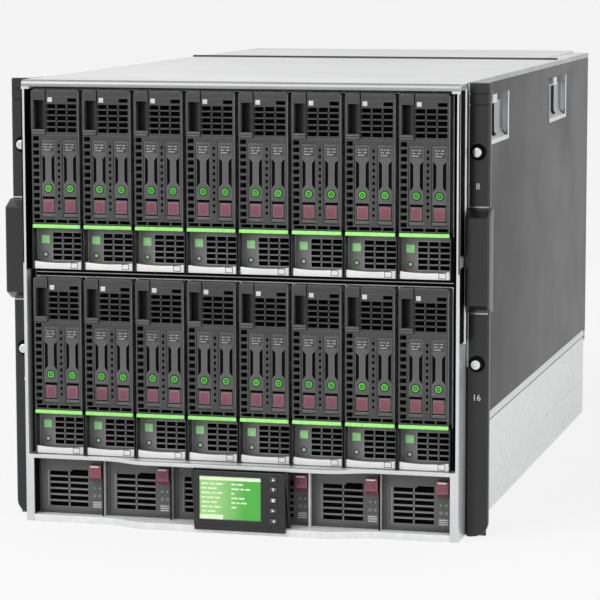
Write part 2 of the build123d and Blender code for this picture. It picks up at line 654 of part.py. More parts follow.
def display_panel():
    """Tilting display: body with screen recess, key holes and hinge tangs, and the chin over the lip."""
    half = DISPLAY_WIDTH / 2
    foot, head = display_levels()
    back = display_front + DISPLAY_THICKNESS
    chin_back = -LIP_BULGE - RUN_CLEAR
    slope = [
        (display_front, foot), (display_front + DISPLAY_CHIN_SLOPE, DISPLAY_FOOT),
        (chin_back, DISPLAY_FOOT), (chin_back, foot),
    ]
    chin = prism_x(slope, -half, half)
    panel = block(-half, half, display_front, back, foot, head)
    screen_left = SCREEN_MARGIN - half
    panel -= block(screen_left, screen_left + SCREEN_WIDTH, display_front, display_front + SCREEN_DEPTH,
                   DISPLAY_FOOT + SCREEN_FOOT, head - SCREEN_TOP)
    reach_x, reach_z = KEY_WIDTH / 2 + RUN_CLEAR, KEY_HEIGHT / 2 + RUN_CLEAR
    floor = display_front + KEY_DEPTH + KEY_TRAVEL + RUN_CLEAR
    for x, z in key_places():
        panel -= block(x - reach_x, x + reach_x, display_front, floor, z - reach_z, z + reach_z)
    end = half + RUN_CLEAR + CARRIAGE_SHEET
    tang = square_x(half - DISPLAY_TANG_ROOT, end, *display_hinge(), DISPLAY_TANG)
    return panel + tang + mirrored(tang), chin


def display_key(x, z):
    """One key cap with its plunger, free to press in."""
    return block(x - KEY_WIDTH / 2, x + KEY_WIDTH / 2, display_front - KEY_PROUD, display_front + KEY_DEPTH,
                 z - KEY_HEIGHT / 2, z + KEY_HEIGHT / 2)


def display_carriage():
    """Sliding bracket: back plate, two cheeks for the hinge tangs, runners on both lips."""
    inner = DISPLAY_WIDTH / 2 + RUN_CLEAR
    outer = inner + CARRIAGE_SHEET
    back = display_front + DISPLAY_THICKNESS + DISPLAY_BACK_ROOM
    low, high = psu_foot, shelf_lip_foot - RUN_CLEAR
    plate = block(-outer, outer, back, back + CARRIAGE_SHEET, low, high)
    plate += block(-outer, outer, back, back + CARRIAGE_RUNNER, low, low + CARRIAGE_SHEET)
    plate += block(-outer, outer, back, back + CARRIAGE_RUNNER, high - CARRIAGE_SHEET, high)
    hinge_y, hinge_z = display_hinge()
    reach = DISPLAY_TANG_INSET - RUN_CLEAR
    cheek_profile = [
        (hinge_y - reach, hinge_z - reach), (hinge_y - reach, high - RUN_CLEAR), (back, high - RUN_CLEAR),
        (back, low + LIP_HEIGHT), (back - reach, low + LIP_HEIGHT),
    ]
    cheek = prism_x(cheek_profile, inner, outer)
    cheek -= square_x(inner, outer, hinge_y, hinge_z, turning_window(DISPLAY_TANG))
    return plate + cheek + mirrored(cheek)


def midplane():
    """Midplane board with a socket rail along each row of blades."""
    half = post_inner - MIDPLANE_SIDE_GAP
    board = block(-half, half, midplane_front, rear_front, lower_row, rail_foot)
    low = (BLADE_HEIGHT - CONNECTOR_HEIGHT) / 2
    for row in range(BLADE_ROWS):
        foot = blade_corner(0, row)[1] + low
        board += block(-half, half, midplane_front - SOCKET_LENGTH, midplane_front,
                       foot, foot + CONNECTOR_HEIGHT)
    return board


def fan_module(x, fan_width, foot):
    """Fan module with its duct open at the rear."""
    half = fan_width / 2
    middle = foot + FAN_HEIGHT / 2
    body = block(x - half, x + half, module_front, module_rear, foot, foot + FAN_HEIGHT)
    duct_front = module_rear - FAN_BORE_DEPTH
    return body - many_sided_y(x, duct_front, module_rear, middle, FAN_BORE_R, FAN_DUCT_SIDES)


def faced_module(x, module_width, front, foot, module_height, opening_width, opening_height, opening_depth):
    """A plug-in module with one recessed opening in the middle of its rear face."""
    half = module_width / 2
    reach = opening_width / 2
    middle = foot + module_height / 2
    body = block(x - half, x + half, front, module_rear, foot, foot + module_height)
    return body - block(x - reach, x + reach, module_rear - opening_depth, module_rear,
                        middle - opening_height / 2, middle + opening_height / 2)


def across(count):
    """Middles and the common width of modules that share the blade field's width."""
    pitch = field / count
    return [-field / 2 + (index + 0.5) * pitch for index in range(count)], pitch - MODULE_GAP


def rear_modules():
    """Fans above and below, management row, interconnect modules and power inlets."""
    modules = []
    places, module_width = across(PSU_COUNT)
    for x in places:
        modules.append(faced_module(x, module_width, PSU_DEPTH + INLET_GAP, SHEET + MODULE_GAP,
                                    shelf_foot - 2 * (SHEET + MODULE_GAP),
                                    INLET_WIDTH, INLET_HEIGHT, INLET_DEPTH))
    lower_fans = shelf_foot + MODULE_GAP
    upper_fans = height - SHEET - MODULE_GAP - FAN_HEIGHT
    places, module_width = across(FAN_COLUMNS)
    for foot in (lower_fans, upper_fans):
        modules += [fan_module(x, module_width, foot) for x in places]
    manager_foot = lower_fans + FAN_HEIGHT + MODULE_GAP
    places, module_width = across(MANAGER_COLUMNS)
    for x in places:
        modules.append(faced_module(x, module_width, module_front, manager_foot, MANAGER_HEIGHT,
                                    module_width - 2 * PORT_FIELD_MARGIN, MANAGER_HEIGHT * PORT_FIELD_SHARE,
                                    PORT_DEPTH))
    switch_foot = manager_foot + MANAGER_HEIGHT + MODULE_GAP
    switch_pitch = (upper_fans - switch_foot) / SWITCH_ROWS
    switch_height = switch_pitch - MODULE_GAP
    places, module_width = across(SWITCH_COLUMNS)
    port_width = module_width - 2 * PORT_FIELD_MARGIN
    for row in range(SWITCH_ROWS):
        foot = switch_foot + row * switch_pitch
        for x in places:
            modules.append(faced_module(x, module_width, module_front, foot, switch_height,
                                        port_width, switch_height * PORT_FIELD_SHARE, PORT_DEPTH))
    return modules


def blade_slots():
    """Column and row of each blade, upper row first, left to right."""
    return [(column, row) for row in range(BLADE_ROWS) for column in range(BLADE_COLUMNS)]


def blade_corner(column, row):
    """Middle of a blade across and the level of its underside."""
    return (column + 0.5) * BLADE_PITCH - field / 2, upper_row - row * row_pitch


def main():
    os.makedirs("parts", exist_ok=True)
    blade = [blade_case(), blade_bezel(), light_bar(), lower_panel(), *blade_inside()]
    for x in drive_places():
        blade += drive(x)
    lever = blade_lever()
    for number, (column, row) in enumerate(blade_slots(), start=1):
        x, z = blade_corner(column, row)
        save(f"server_blade_{number:02d}", *[Pos(x, 0, z) * piece for piece in blade])
        save(f"blade_lever_{number:02d}", Pos(x, 0, z) * lever)
    supply, latch = power_supply(), power_latch()
    for number in range(1, PSU_COUNT + 1):
        place = Pos((number - 0.5) * psu_pitch - field / 2, 0, psu_foot)
        save(f"power_supply_{number}", *[place * piece for piece in supply])
        save(f"power_latch_{number}", place * latch)
    shifted = Pos(DISPLAY_SHIFT, 0, 0)
    save("display_carriage", shifted * display_carriage())
    save("display_panel", *[shifted * piece for piece in display_panel()])
    for name, (x, z) in zip(KEY_NAMES, key_places()):
        save(f"display_key_{name}", shifted * display_key(x, z))
    save("base_tray", *base_tray())
    save("front_frame", *front_frame())
    panel = side_panel()
    save("side_panels", panel, mirrored(panel))
    plates = [hook_plate(start, foot) for start, foot in hook_places()]
    save("lift_hook_plates", *plates, *[mirrored(plate) for plate in plates])
    save("roof_panel", roof_panel())
    cover, plate = ear_cover(), ear_plate()
    save("rack_ears", plate, cover, mirrored(plate), mirrored(cover))
    screws = [rack_screw(side * screw_x, z) for side in (-1, 1) for z in screw_heights()]
    save("rack_screws", *screws)
    save("midplane", midplane())
    save("rear_modules", *rear_modules())


main()
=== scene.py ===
import json
import logging
import math
from dataclasses import dataclass
from enum import Enum
from typing import Any, Callable, Sequence

import bmesh
import bpy
from mathutils import Matrix, Vector

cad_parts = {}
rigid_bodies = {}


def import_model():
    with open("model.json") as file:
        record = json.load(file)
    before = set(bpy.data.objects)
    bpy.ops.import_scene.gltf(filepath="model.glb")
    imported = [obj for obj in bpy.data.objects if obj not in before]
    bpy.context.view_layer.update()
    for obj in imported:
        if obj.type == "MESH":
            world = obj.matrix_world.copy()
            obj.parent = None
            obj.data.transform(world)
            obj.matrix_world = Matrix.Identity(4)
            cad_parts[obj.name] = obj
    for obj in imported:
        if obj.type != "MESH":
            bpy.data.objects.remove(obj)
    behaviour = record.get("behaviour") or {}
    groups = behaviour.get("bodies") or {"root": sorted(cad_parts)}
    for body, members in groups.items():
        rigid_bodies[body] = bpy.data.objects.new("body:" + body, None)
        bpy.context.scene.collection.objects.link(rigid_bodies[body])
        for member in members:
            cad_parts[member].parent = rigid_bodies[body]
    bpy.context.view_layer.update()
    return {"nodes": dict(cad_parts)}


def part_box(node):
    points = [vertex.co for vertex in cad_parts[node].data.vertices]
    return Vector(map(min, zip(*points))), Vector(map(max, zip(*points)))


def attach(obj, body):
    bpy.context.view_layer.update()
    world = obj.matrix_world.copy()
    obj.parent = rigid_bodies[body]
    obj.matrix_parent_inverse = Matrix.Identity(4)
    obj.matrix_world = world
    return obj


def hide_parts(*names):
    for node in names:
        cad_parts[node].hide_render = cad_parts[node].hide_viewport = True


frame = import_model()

LOG = logging.getLogger("blade_chassis")
MM = 0.001
QUARTER = math.pi / 2.0
SMOOTH_ANGLE = math.radians(35.0)
FLAT_ANGLE = math.radians(0.5)
MERGE_MM = 0.001
SHEET_EDGE = 0.2
# Where most values of a noise texture lie, and of two multiplied.
NOISE = (0.3, 0.7)
MOTTLE = (0.12, 0.42)
# Grain cells to one broad patch, the swing of the gloss from patch to patch, and the relief's strength.
PATCH_CELLS = 40.0
GLOSS_SWING = (0.94, 1.07)
RELIEF = 0.35
# The mesh's mark on rounded edges, and how much paler they are, up to a limit: wear together with a painted
# highlight on every rounded edge.
WORN_HIGHLIT_EDGE = "rubbed_edge"
WORN_HIGHLIT_GAIN = 2.2
WORN_HIGHLIT_WHITE = 0.85

Span = tuple[float, float]
Point = tuple[float, float]
Opening = tuple[Span, Span]
Outline = Sequence[Point]
BMesh = bmesh.types.BMesh
BMVert = bmesh.types.BMVert
Mesh = bpy.types.Mesh
Socket = bpy.types.NodeSocket
Tree = bpy.types.NodeTree


class Axis(Enum):
    """The way along which a profile is drawn out, as the order of its two sides and its length."""

    X = (2, 0, 1)
    Y = (0, 2, 1)
    Z = (0, 1, 2)

    def point(self, *given: float) -> Vector:
        """The place of profile point (u, v) at one distance along this axis."""
        return Vector([given[index] for index in self.value])


class Grain(Enum):
    """How a surface was made, which gives its pattern."""

    MOULDED = "spark-eroded tool texture"
    POWDER = "powder coat with orange peel"
    BRUSHED = "rolled or brushed metal with streaks"
    ZINC = "zinc plate with faint crystal spangle"
    LENS = "clear moulding lit from behind"
    SCREEN = "lit liquid crystal panel"


def about(middle: float, reach: float) -> Span:
    """The span that reaches equally far to both sides of its middle."""
    return middle - reach, middle + reach


def shift(span: Span, way: float) -> Span:
    """The same span moved along."""
    return span[0] + way, span[1] + way


def linear(code: str) -> tuple[float, float, float, float]:
    """Turn an sRGB hex colour into the linear colour that shaders take.

    Args:
        code: Six hex digits after a hash mark.

    Returns:
        Linear red, green, blue and an alpha of one.
    """
    parts = [int(code[i:i + 2], 16) / 255.0 for i in (1, 3, 5)]
    values = [p / 12.92 if p <= 0.04045 else ((p + 0.055) / 1.055) ** 2.4 for p in parts]
    return (values[0], values[1], values[2], 1.0)


def add_node(tree: Tree, kind: str, inputs: dict[Any, Any] | None = None, out: int | str = 0,
             **settings: Any) -> Socket | None:
    """Add one node, with its settings and what goes into its sockets.

    Args:
        tree: Material, world or geometry tree that takes the node.
        kind: Blender's name for the node's type.
        inputs: Socket to a value to set, an output to link, or a list of outputs.
        out: The output that is wanted.
        **settings: Properties of the node itself.

    Returns:
        The wanted output, or None from a node that ends a tree.
    """
    node = tree.nodes.new(kind)
    for name, value in settings.items():
        setattr(node, name, value)
    for key, value in (inputs or {}).items():
        for item in value if isinstance(value, list) else [value]:
            if isinstance(item, Socket):
                tree.links.new(item, node.inputs[key])
            else:
                node.inputs[key].default_value = item
    return node.outputs[out] if len(node.outputs) else None


def calc(tree: Tree, operation: str, first: Any, second: Any) -> Socket:
    """The result of one sum on sockets or numbers."""
    return add_node(tree, "ShaderNodeMath", {0: first, 1: second}, operation=operation)


def ramp(tree: Tree, value: Socket, start: Span, end: Span = (0.0, 1.0)) -> Socket:
    """A value stretched from one span to another and held at the ends."""
    limits = {"From Min": start[0], "From Max": start[1], "To Min": end[0], "To Max": end[1]}
    return add_node(tree, "ShaderNodeMapRange", {"Value": value, **limits}, "Result")


def mix(tree: Tree, share: Socket, low: Any, high: Any) -> Socket:
    """Two colours mixed by a share."""
    return add_node(tree, "ShaderNodeMix", {"Factor": share, 6: low, 7: high}, 2, data_type="RGBA")


def empty_tree(owner: bpy.types.Material | bpy.types.World) -> Tree:
    """Clear the nodes of a new material or world.

    Args:
        owner: The material or world.

    Returns:
        Its empty tree.
    """
    owner.use_nodes = True
    owner.node_tree.nodes.clear()
    return owner.node_tree


def show(name: str, data: bpy.types.ID) -> bpy.types.Object:
    """Put a new object in the scene.

    Args:
        name: The object's name.
        data: The mesh, text, lamp or camera that it shows.

    Returns:
        The object.
    """
    made = bpy.data.objects.new(name, data)
    bpy.context.scene.collection.objects.link(made)
    return made


def plain_mesh(holder: bpy.types.Object) -> Mesh:
    """Turn a helper object into a plain mesh and remove it.

    Args:
        holder: Object with a modifier, or a text.

    Returns:
        What it looks like, as a mesh of its own.
    """
    view = bpy.context.evaluated_depsgraph_get()
    view.update()
    made = bpy.data.meshes.new_from_object(holder.evaluated_get(view))
    source = holder.data
    bpy.data.objects.remove(holder)
    bpy.data.batch_remove([source])
    return made


@dataclass(frozen=True)
class Finish:
    """One real material with the way its surface was made."""

    name: str
    colour: str
    tint: str
    grain: Grain
    grain_mm: float
    roughness: float
    metallic: float = 0.0
    relief_mm: float = 0.02
    coat: float = 0.0
    glow: float = 0.0
    specular: float = 0.5
    wear_and_highlight: float = 0.7
    stretch: tuple[float, float, float] = (1.0, 1.0, 1.0)

    def material(self) -> bpy.types.Material:
        """The node material of this finish, made once."""
        return bpy.data.materials.get(self.name) or self.make()

    def make(self) -> bpy.types.Material:
        """Build the node tree: mottled colour, worn edges with a painted highlight, uneven gloss and a fine
        relief.

        Returns:
            The finished material.
        """
        made = bpy.data.materials.new(self.name)
        tree = empty_tree(made)
        place = add_node(tree, "ShaderNodeTexCoord", out="Object")
        turned = add_node(tree, "ShaderNodeMapping", {"Vector": place, "Scale": self.stretch})
        scale = 1.0 / (self.grain_mm * MM)
        fine = self.fine_pattern(tree, turned, scale)
        broad = add_node(tree, "ShaderNodeTexNoise",
                         {"Vector": place, "Scale": scale / PATCH_CELLS, "Detail": 3.0}, "Fac")
        share = ramp(tree, calc(tree, "MULTIPLY", fine, broad), MOTTLE)
        colour = self.rubbed(tree, mix(tree, share, linear(self.colour), linear(self.tint)), broad)
        low, high = (min(1.0, self.roughness * swing) for swing in GLOSS_SWING)
        bump = add_node(tree, "ShaderNodeBump",
                        {"Height": fine, "Strength": RELIEF, "Distance": self.relief_mm * MM})
        given = {"Base Color": colour, "Roughness": ramp(tree, broad, NOISE, (low, high)), "Normal": bump,
                 "Metallic": self.metallic, "Coat Weight": self.coat, "Specular IOR Level": self.specular}
        if self.glow:
            given |= {"Emission Color": colour, "Emission Strength": self.glow}
        add_node(tree, "ShaderNodeOutputMaterial",
                 {"Surface": add_node(tree, "ShaderNodeBsdfPrincipled", given)})
        return made

    def rubbed(self, tree: Tree, body: Socket, broad: Socket) -> Socket:
        """Pale, patchy wear with a painted highlight along the rounded edges, which the mesh marks.

        Args:
            tree: The material's tree.
            body: Colour away from the edges.
            broad: Slow pattern that makes the wear patchy.

        Returns:
            The colour with its worn, highlighted edges.
        """
        if not self.wear_and_highlight:
            return body
        pale = [min(WORN_HIGHLIT_WHITE, value * WORN_HIGHLIT_GAIN) for value in linear(self.tint)[:3]]
        edge = add_node(tree, "ShaderNodeAttribute", out="Fac", attribute_name=WORN_HIGHLIT_EDGE)
        patchy = ramp(tree, broad, NOISE, (0.5 * self.wear_and_highlight, self.wear_and_highlight))
        return mix(tree, calc(tree, "MULTIPLY", edge, patchy), body, (*pale, 1.0))

    def fine_pattern(self, tree: Tree, place: Socket, scale: float) -> Socket:
        """The small pattern of this way of making.

        Args:
            tree: The material's tree.
            place: Coordinates the pattern lies on.
            scale: Cells to a metre.

        Returns:
            The pattern's value from nought to one.
        """
        if self.grain is Grain.ZINC:
            cells = add_node(tree, "ShaderNodeTexVoronoi", {"Vector": place, "Scale": scale}, "Color")
            return add_node(tree, "ShaderNodeSeparateColor", {"Color": cells})
        if self.grain is Grain.SCREEN:
            across = add_node(tree, "ShaderNodeSeparateXYZ", {"Vector": place}, "X")
            return ramp(tree, across, about(0.0, 0.5 / scale))
        detail = 5.0 if self.grain is Grain.BRUSHED else 2.0
        return add_node(tree, "ShaderNodeTexNoise",
                        {"Vector": place, "Scale": scale, "Detail": detail, "Roughness": 0.6}, "Fac")


# Moulded ABS in graphite: an even, dull skin from a spark-eroded tool, drawn coarser than life.
BEZEL_ABS = Finish("abs_graphite_moulded", "#323233", "#3e3e3f", Grain.MOULDED, 0.9, 0.4)
# The same plastic in a lighter grey for the drive carriers and the supplies' faces, and as a painted
# highlight along each bezel's right edge and on the pull tab's lip ridges.
PALE_GRAPHITE_AND_HIGHLIGHT_ABS = Finish("abs_pale_graphite_and_painted_highlight", "#4c4c4d", "#595959", Grain.MOULDED, 0.9, 0.4)
# A paler grey of the bezels' plastic, as painted light on the set-back panels, the supplies' bars and the
# strip at each supply grille's left side, which catch the light; it is also the real grey of the supplies'
# labels.
PALE_GREY_AND_LIGHT_ABS = Finish("abs_pale_grey_and_painted_light", "#6c6c6d", "#7b7b7b", Grain.MOULDED, 0.9, 0.4)
# Black ABS behind every opening, as painted shade for the dark inside: dull, so that slots read as holes.
# The same black paints shade round the levers' buttons, on the front frame, behind the lift slots and in the
# screw recesses, and colours a few real black parts.
BLACK_AND_SHADE_ABS = Finish("abs_black_and_painted_shade", "#040404", "#080808", Grain.MOULDED, 0.9, 0.8, specular=0.1,
                   wear_and_highlight=0.0)
# Satin black covers of the rack ears and the display; the same black paints shade in the pull tab's finger
# hollow and on the cheeks between blades.
SATIN_BLACK_AND_SHADE_ABS = Finish("abs_satin_black_and_painted_shade", "#131314", "#1b1b1c", Grain.MOULDED, 1.1, 0.3, coat=0.1)
# Maroon ABS that marks what may be touched while the machine runs.
TOUCH_ABS = Finish("abs_maroon_moulded", "#6b3847", "#7b4855", Grain.MOULDED, 0.9, 0.42)
# Lit lenses: clear polycarbonate with a green diode behind it, bright for the bar and dim elsewhere.
BAR_LENS = Finish("polycarbonate_green_lit", "#6fb653", "#8dcf70", Grain.LENS, 4.0, 0.25, glow=0.5, wear_and_highlight=0.0)
RING_LENS = Finish("polycarbonate_green_dim_lit", "#38932b", "#58b343", Grain.LENS, 2.0, 0.3, glow=0.22,
                   wear_and_highlight=0.0)
SQUARE_LENS = Finish("polycarbonate_pale_green_lit", "#79b873", "#9ad192", Grain.LENS, 3.0, 0.35, glow=0.22,
                     wear_and_highlight=0.0)
# White card under a clear window.
LABEL_CARD = Finish("card_white_printed", "#b9bab9", "#cfd0cf", Grain.MOULDED, 0.9, 0.6)
# Zinc-plated sheet steel: bright, with faint crystal patches.
ZINC_STEEL = Finish("steel_zinc_plated", "#dcdddd", "#e4e5e5", Grain.ZINC, 5.0, 0.42, metallic=0.3,
                    relief_mm=0.006)
# Bright folded cage, plated after rolling, with the rolling marks upright.
CAGE_STEEL = Finish("steel_nickel_plated", "#cdcecf", "#d8d9da", Grain.BRUSHED, 1.2, 0.34, metallic=0.6,
                    stretch=(1.0, 1.0, 0.04))
# Front rail, polished along its length: a soft band of light on its nose, over a steel colour darker than
# the cage's, which is painted shade.
RAIL_STEEL_PAINTED_SHADE = Finish("steel_nickel_rail_painted_shade", "#919293", "#9fa0a1", Grain.BRUSHED, 1.5, 0.46,
                    metallic=0.95, stretch=(0.03, 1.0, 1.0))
# Roof sheet, dull, with its rolling marks across.
ROOF_STEEL = Finish("steel_nickel_plated_roof", "#c8c9c9", "#dadada", Grain.BRUSHED, 6.0, 0.66,
                    metallic=0.2, specular=0.22, stretch=(0.02, 1.0, 1.0))
# Pressed lift plates: duller, with draw marks.
PRESSED_STEEL = Finish("steel_pressed_zinc", "#8f9193", "#b4b6b8", Grain.BRUSHED, 2.5, 0.3, metallic=0.9,
                       stretch=(1.0, 0.2, 1.0))
# Dark powder coat on the side panels: fine orange peel.
PANEL_PAINT = Finish("steel_powder_coated", "#1a1a1c", "#1e1e20", Grain.POWDER, 1.6, 0.4, specular=0.32)
# Silver paint on the cast ejector levers.
LEVER_ZINC = Finish("zinc_cast_silver_painted", "#d3d3d2", "#e3e3e2", Grain.POWDER, 1.2, 0.32, metallic=0.15)
# Turned screws with bright tool marks.
SCREW_STEEL = Finish("steel_nickel_turned", "#cfd0d1", "#e2e3e3", Grain.BRUSHED, 0.8, 0.25, metallic=1.0)
# Circuit board under green solder mask.
BOARD_LAMINATE = Finish("fibreglass_green_masked", "#1c4a2c", "#255c38", Grain.POWDER, 2.5, 0.35)
# Black nylon of plugs and fan rotors.
NYLON = Finish("nylon_black_moulded", "#19191a", "#222223", Grain.MOULDED, 0.9, 0.5)
# Dark paint on the plug-in modules at the rear; the same dark paints shade under the side hems and on the
# riser of the roof's step.
DARK_PAINT_AND_SHADE = Finish("steel_dark_painted_and_shade", "#3a3b3d", "#444547", Grain.POWDER, 1.6, 0.45, relief_mm=0.05)
# Contacts: warm bright metal.
CONTACT_BRASS = Finish("brass_nickel_contacts", "#c9b98a", "#d8caa0", Grain.BRUSHED, 0.8, 0.3, metallic=1.0)
# Pad printing: a thin dull film, white, or grey on the drives and beside the supplies' lamps. The white one
# also stands for a painted highlight along the top of each supply latch.
WHITE_INK_AND_HIGHLIGHT = Finish("pad_printed_white_ink_and_highlight", "#cfd0d0", "#dedede", Grain.MOULDED, 0.9, 0.55)
FAINT_INK = Finish("pad_printed_grey_ink", "#8b8c8c", "#9c9d9d", Grain.MOULDED, 0.9, 0.55)
# Lit display: paler at the left, and pale strips for its readings.
SCREEN_LCD = Finish("liquid_crystal_green_lit", "#8bb877", "#449c3b", Grain.SCREEN, 62.0, 0.2, glow=0.3,
                    wear_and_highlight=0.0)
SCREEN_PALE = Finish("liquid_crystal_pale_lit", "#c6dab0", "#d3e3c0", Grain.LENS, 8.0, 0.2, glow=0.3,
                     wear_and_highlight=0.0)


def circle(centre: Point, radius: float, sides: int) -> list[Point]:
    """The corners of a round with flat sides."""
    turns = [2.0 * math.pi * i / sides for i in range(sides)]
    return [(centre[0] + radius * math.cos(t), centre[1] + radius * math.sin(t)) for t in turns]


def round_corner(x: float, z: float, radius: float, start: float, steps: int = 4) -> list[Point]:
    """The points of a quarter turn, anticlockwise, whose start is given in quarters from the first axis."""
    turns = [QUARTER * (start + i / steps) for i in range(steps + 1)]
    return [(x + radius * math.cos(t), z + radius * math.sin(t)) for t in turns]


def skin(part: BMesh, rings: Sequence[Sequence[BMVert]], capped: bool = True) -> None:
    """Join rings of equal length with quads.

    Args:
        part: The mesh that holds the rings.
        rings: Rings in order along the solid.
        capped: Whether the first and last ring are closed with a face.
    """
    count = len(rings[0])
    for low, high in zip(rings, rings[1:]):
        for i in range(count):
            j = (i + 1) % count
            part.faces.new([low[i], low[j], high[j], high[i]])
    if capped:
        part.faces.new(list(reversed(rings[0])))
        part.faces.new(rings[-1])


class Form:
    """Solids gathered in millimetres on a sub-assembly's own axes, each with its finish."""

    def __init__(self) -> None:
        """Start with nothing."""
        self.shapes = bmesh.new()
        self.finishes: list[Finish] = []

    def add(self, part: BMesh, finish: Finish, bevel: float = 0.0) -> None:
        """Take in one closed solid, round its sharp edges and mark them for wear with a painted highlight.

        Args:
            part: The solid, which is used up.
            finish: What it is made of.
            bevel: Width of the rounded edges.
        """
        bmesh.ops.recalc_face_normals(part, faces=part.faces)
        if bevel > 0.0:
            edges = [e for e in part.edges if e.is_manifold and e.calc_face_angle() > SMOOTH_ANGLE]
            rubbed = part.faces.layers.float.new(WORN_HIGHLIT_EDGE)
            made = bmesh.ops.bevel(part, geom=edges, offset=bevel, segments=2, profile=0.5, affect="EDGES",
                                   clamp_overlap=True)
            for face in made["faces"]:
                face[rubbed] = 1.0
        mesh = bpy.data.meshes.new("part")
        part.to_mesh(mesh)
        part.free()
        self.take(mesh, finish)

    def take(self, mesh: Mesh, finish: Finish) -> None:
        """Take in the faces of a mesh, which is used up.

        Args:
            mesh: Faces in millimetres.
            finish: What they are made of.
        """
        if finish not in self.finishes:
            self.finishes.append(finish)
        start = len(self.shapes.faces)
        self.shapes.from_mesh(mesh)
        bpy.data.meshes.remove(mesh)
        self.shapes.faces.ensure_lookup_table()
        for face in self.shapes.faces[start:]:
            face.material_index = self.finishes.index(finish)

    def block(self, x: Span, y: Span, z: Span, finish: Finish, bevel: float = 0.0) -> None:
        """Add a rectangular solid between two places on each axis."""
        self.prism([(x[0], z[0]), (x[1], z[0]), (x[1], z[1]), (x[0], z[1])], Axis.Y, y, finish, bevel)

    def pair(self, x: Span, y: Span, z: Span, finish: Finish, bevel: float = 0.0) -> None:
        """Add the same block at the right and, mirrored, at the left."""
        self.block(x, y, z, finish, bevel)
        self.block((-x[1], -x[0]), y, z, finish, bevel)

    def sleeve(self, width: float, height: float, wall: float, length: Span) -> None:
        """Add a folded tube of zinc-plated sheet that lies along Y on the floor.

        Args:
            width: Its outer width.
            height: Its outer height.
            wall: The sheet's thickness.
            length: Its front and back.
        """
        half = width / 2.0
        self.block((-half, wall - half), length, (0.0, height), ZINC_STEEL, SHEET_EDGE)
        self.block((half - wall, half), length, (0.0, height), ZINC_STEEL, SHEET_EDGE)
        for z in ((0.0, wall), (height - wall, height)):
            self.block(about(0.0, half - wall), length, z, ZINC_STEEL, SHEET_EDGE)

    def prism(self, outline: Outline, axis: Axis, span: Span, finish: Finish, bevel: float = 0.0) -> None:
        """Add a profile drawn out along an axis.

        Args:
            outline: Profile points in order.
            axis: The way it is drawn out.
            span: Where it starts and ends.
            finish: What it is made of.
            bevel: Width of the rounded edges.
        """
        part = bmesh.new()
        skin(part, [[part.verts.new(axis.point(u, v, along)) for u, v in outline] for along in span])
        self.add(part, finish, bevel)

    def rod(self, centre: Point, axis: Axis, radius: float, span: Span, finish: Finish,
            bevel: float = 0.0, sides: int = 24) -> None:
        """Add a round bar."""
        self.prism(circle(centre, radius, sides), axis, span, finish, bevel)

    def ring(self, centre: Point, radii: Span, span: Span, finish: Finish, sides: int = 24) -> None:
        """Add a flat ring that faces forward.

        Args:
            centre: Its middle across and upwards.
            radii: Inner and outer radius.
            span: Where it starts and ends.
            finish: What it is made of.
            sides: Number of flats that stand for the round.
        """
        part = bmesh.new()
        (inner, outer), (front, back) = radii, span
        loops = [[part.verts.new(Axis.Y.point(u, v, along)) for u, v in circle(centre, radius, sides)]
                 for radius, along in ((inner, front), (outer, front), (outer, back), (inner, back))]
        skin(part, loops + [loops[0]], capped=False)
        self.add(part, finish)

    def plate(self, x: Span, y: Span, z: Span, holes: Sequence[Opening], finish: Finish,
              bevel: float) -> None:
        """Add a plate across the front with rectangular holes through it.

        Args:
            x: Its left and right sides.
            y: Its front and back.
            z: Its foot and head.
            holes: Left and right, then foot and head, of each hole.
            finish: What it is made of.
            bevel: Width of the rounded edges.
        """
        xs = sorted({*x, *(value for hole in holes for value in hole[0])})
        zs = sorted({*z, *(value for hole in holes for value in hole[1])})
        cells = {
            (i, j) for i in range(len(xs) - 1) for j in range(len(zs) - 1)
            if not any(hx[0] < (xs[i] + xs[i + 1]) / 2 < hx[1] and hz[0] < (zs[j] + zs[j + 1]) / 2 < hz[1]
                       for hx, hz in holes)
        }
        part = bmesh.new()
        corners: dict[tuple[int, int, int], BMVert] = {}

        def corner(i: int, j: int, k: int) -> BMVert:
            """One grid corner, made when first asked for.

            Args:
                i: Its place across.
                j: Its place upwards.
                k: Nought at the front and one at the back.

            Returns:
                The corner.
            """
            if (i, j, k) not in corners:
                corners[i, j, k] = part.verts.new((xs[i], y[k], zs[j]))
            return corners[i, j, k]

        for i, j in cells:
            around = [(i, j), (i + 1, j), (i + 1, j + 1), (i, j + 1)]
            for k in (0, 1):
                part.faces.new([corner(*place, k) for place in around])
            low, right, far, high = around
            for beyond, a, b in (((i - 1, j), low, high), ((i + 1, j), right, far), ((i, j - 1), low, right),
                                 ((i, j + 1), high, far)):
                if beyond not in cells:
                    part.faces.new([corner(*a, 0), corner(*b, 0), corner(*b, 1), corner(*a, 1)])
        self.add(part, finish, bevel)

    def solids(self, node: str, finish: Finish, bevel: float) -> None:
        """Add merged copies of a node's solids, each by itself, with their sharp edges rounded.

        Args:
            node: Whose solids they are.
            finish: What they are made of.
            bevel: Width of the rounded edges.
        """
        whole = bmesh.new()
        whole.from_mesh(frame["nodes"][node].data)
        bmesh.ops.scale(whole, vec=(1.0 / MM, 1.0 / MM, 1.0 / MM), verts=whole.verts)
        bmesh.ops.remove_doubles(whole, verts=whole.verts, dist=MERGE_MM)
        left = dict.fromkeys(whole.faces)
        while left:
            group = [left.popitem()[0]]
            for face in group:
                shared = [edge.link_faces for edge in face.edges if len(edge.link_faces) == 2]
                for other in dict.fromkeys(f for faces in shared for f in faces if f in left):
                    del left[other]
                    group.append(other)
            part = bmesh.new()
            verts = {v: part.verts.new(v.co) for v in dict.fromkeys(v for face in group for v in face.verts)}
            for face in group:
                part.faces.new([verts[v] for v in face.verts])
            bmesh.ops.dissolve_limit(part, angle_limit=FLAT_ANGLE, verts=part.verts, edges=part.edges)
            self.add(part, finish, bevel)
        whole.free()

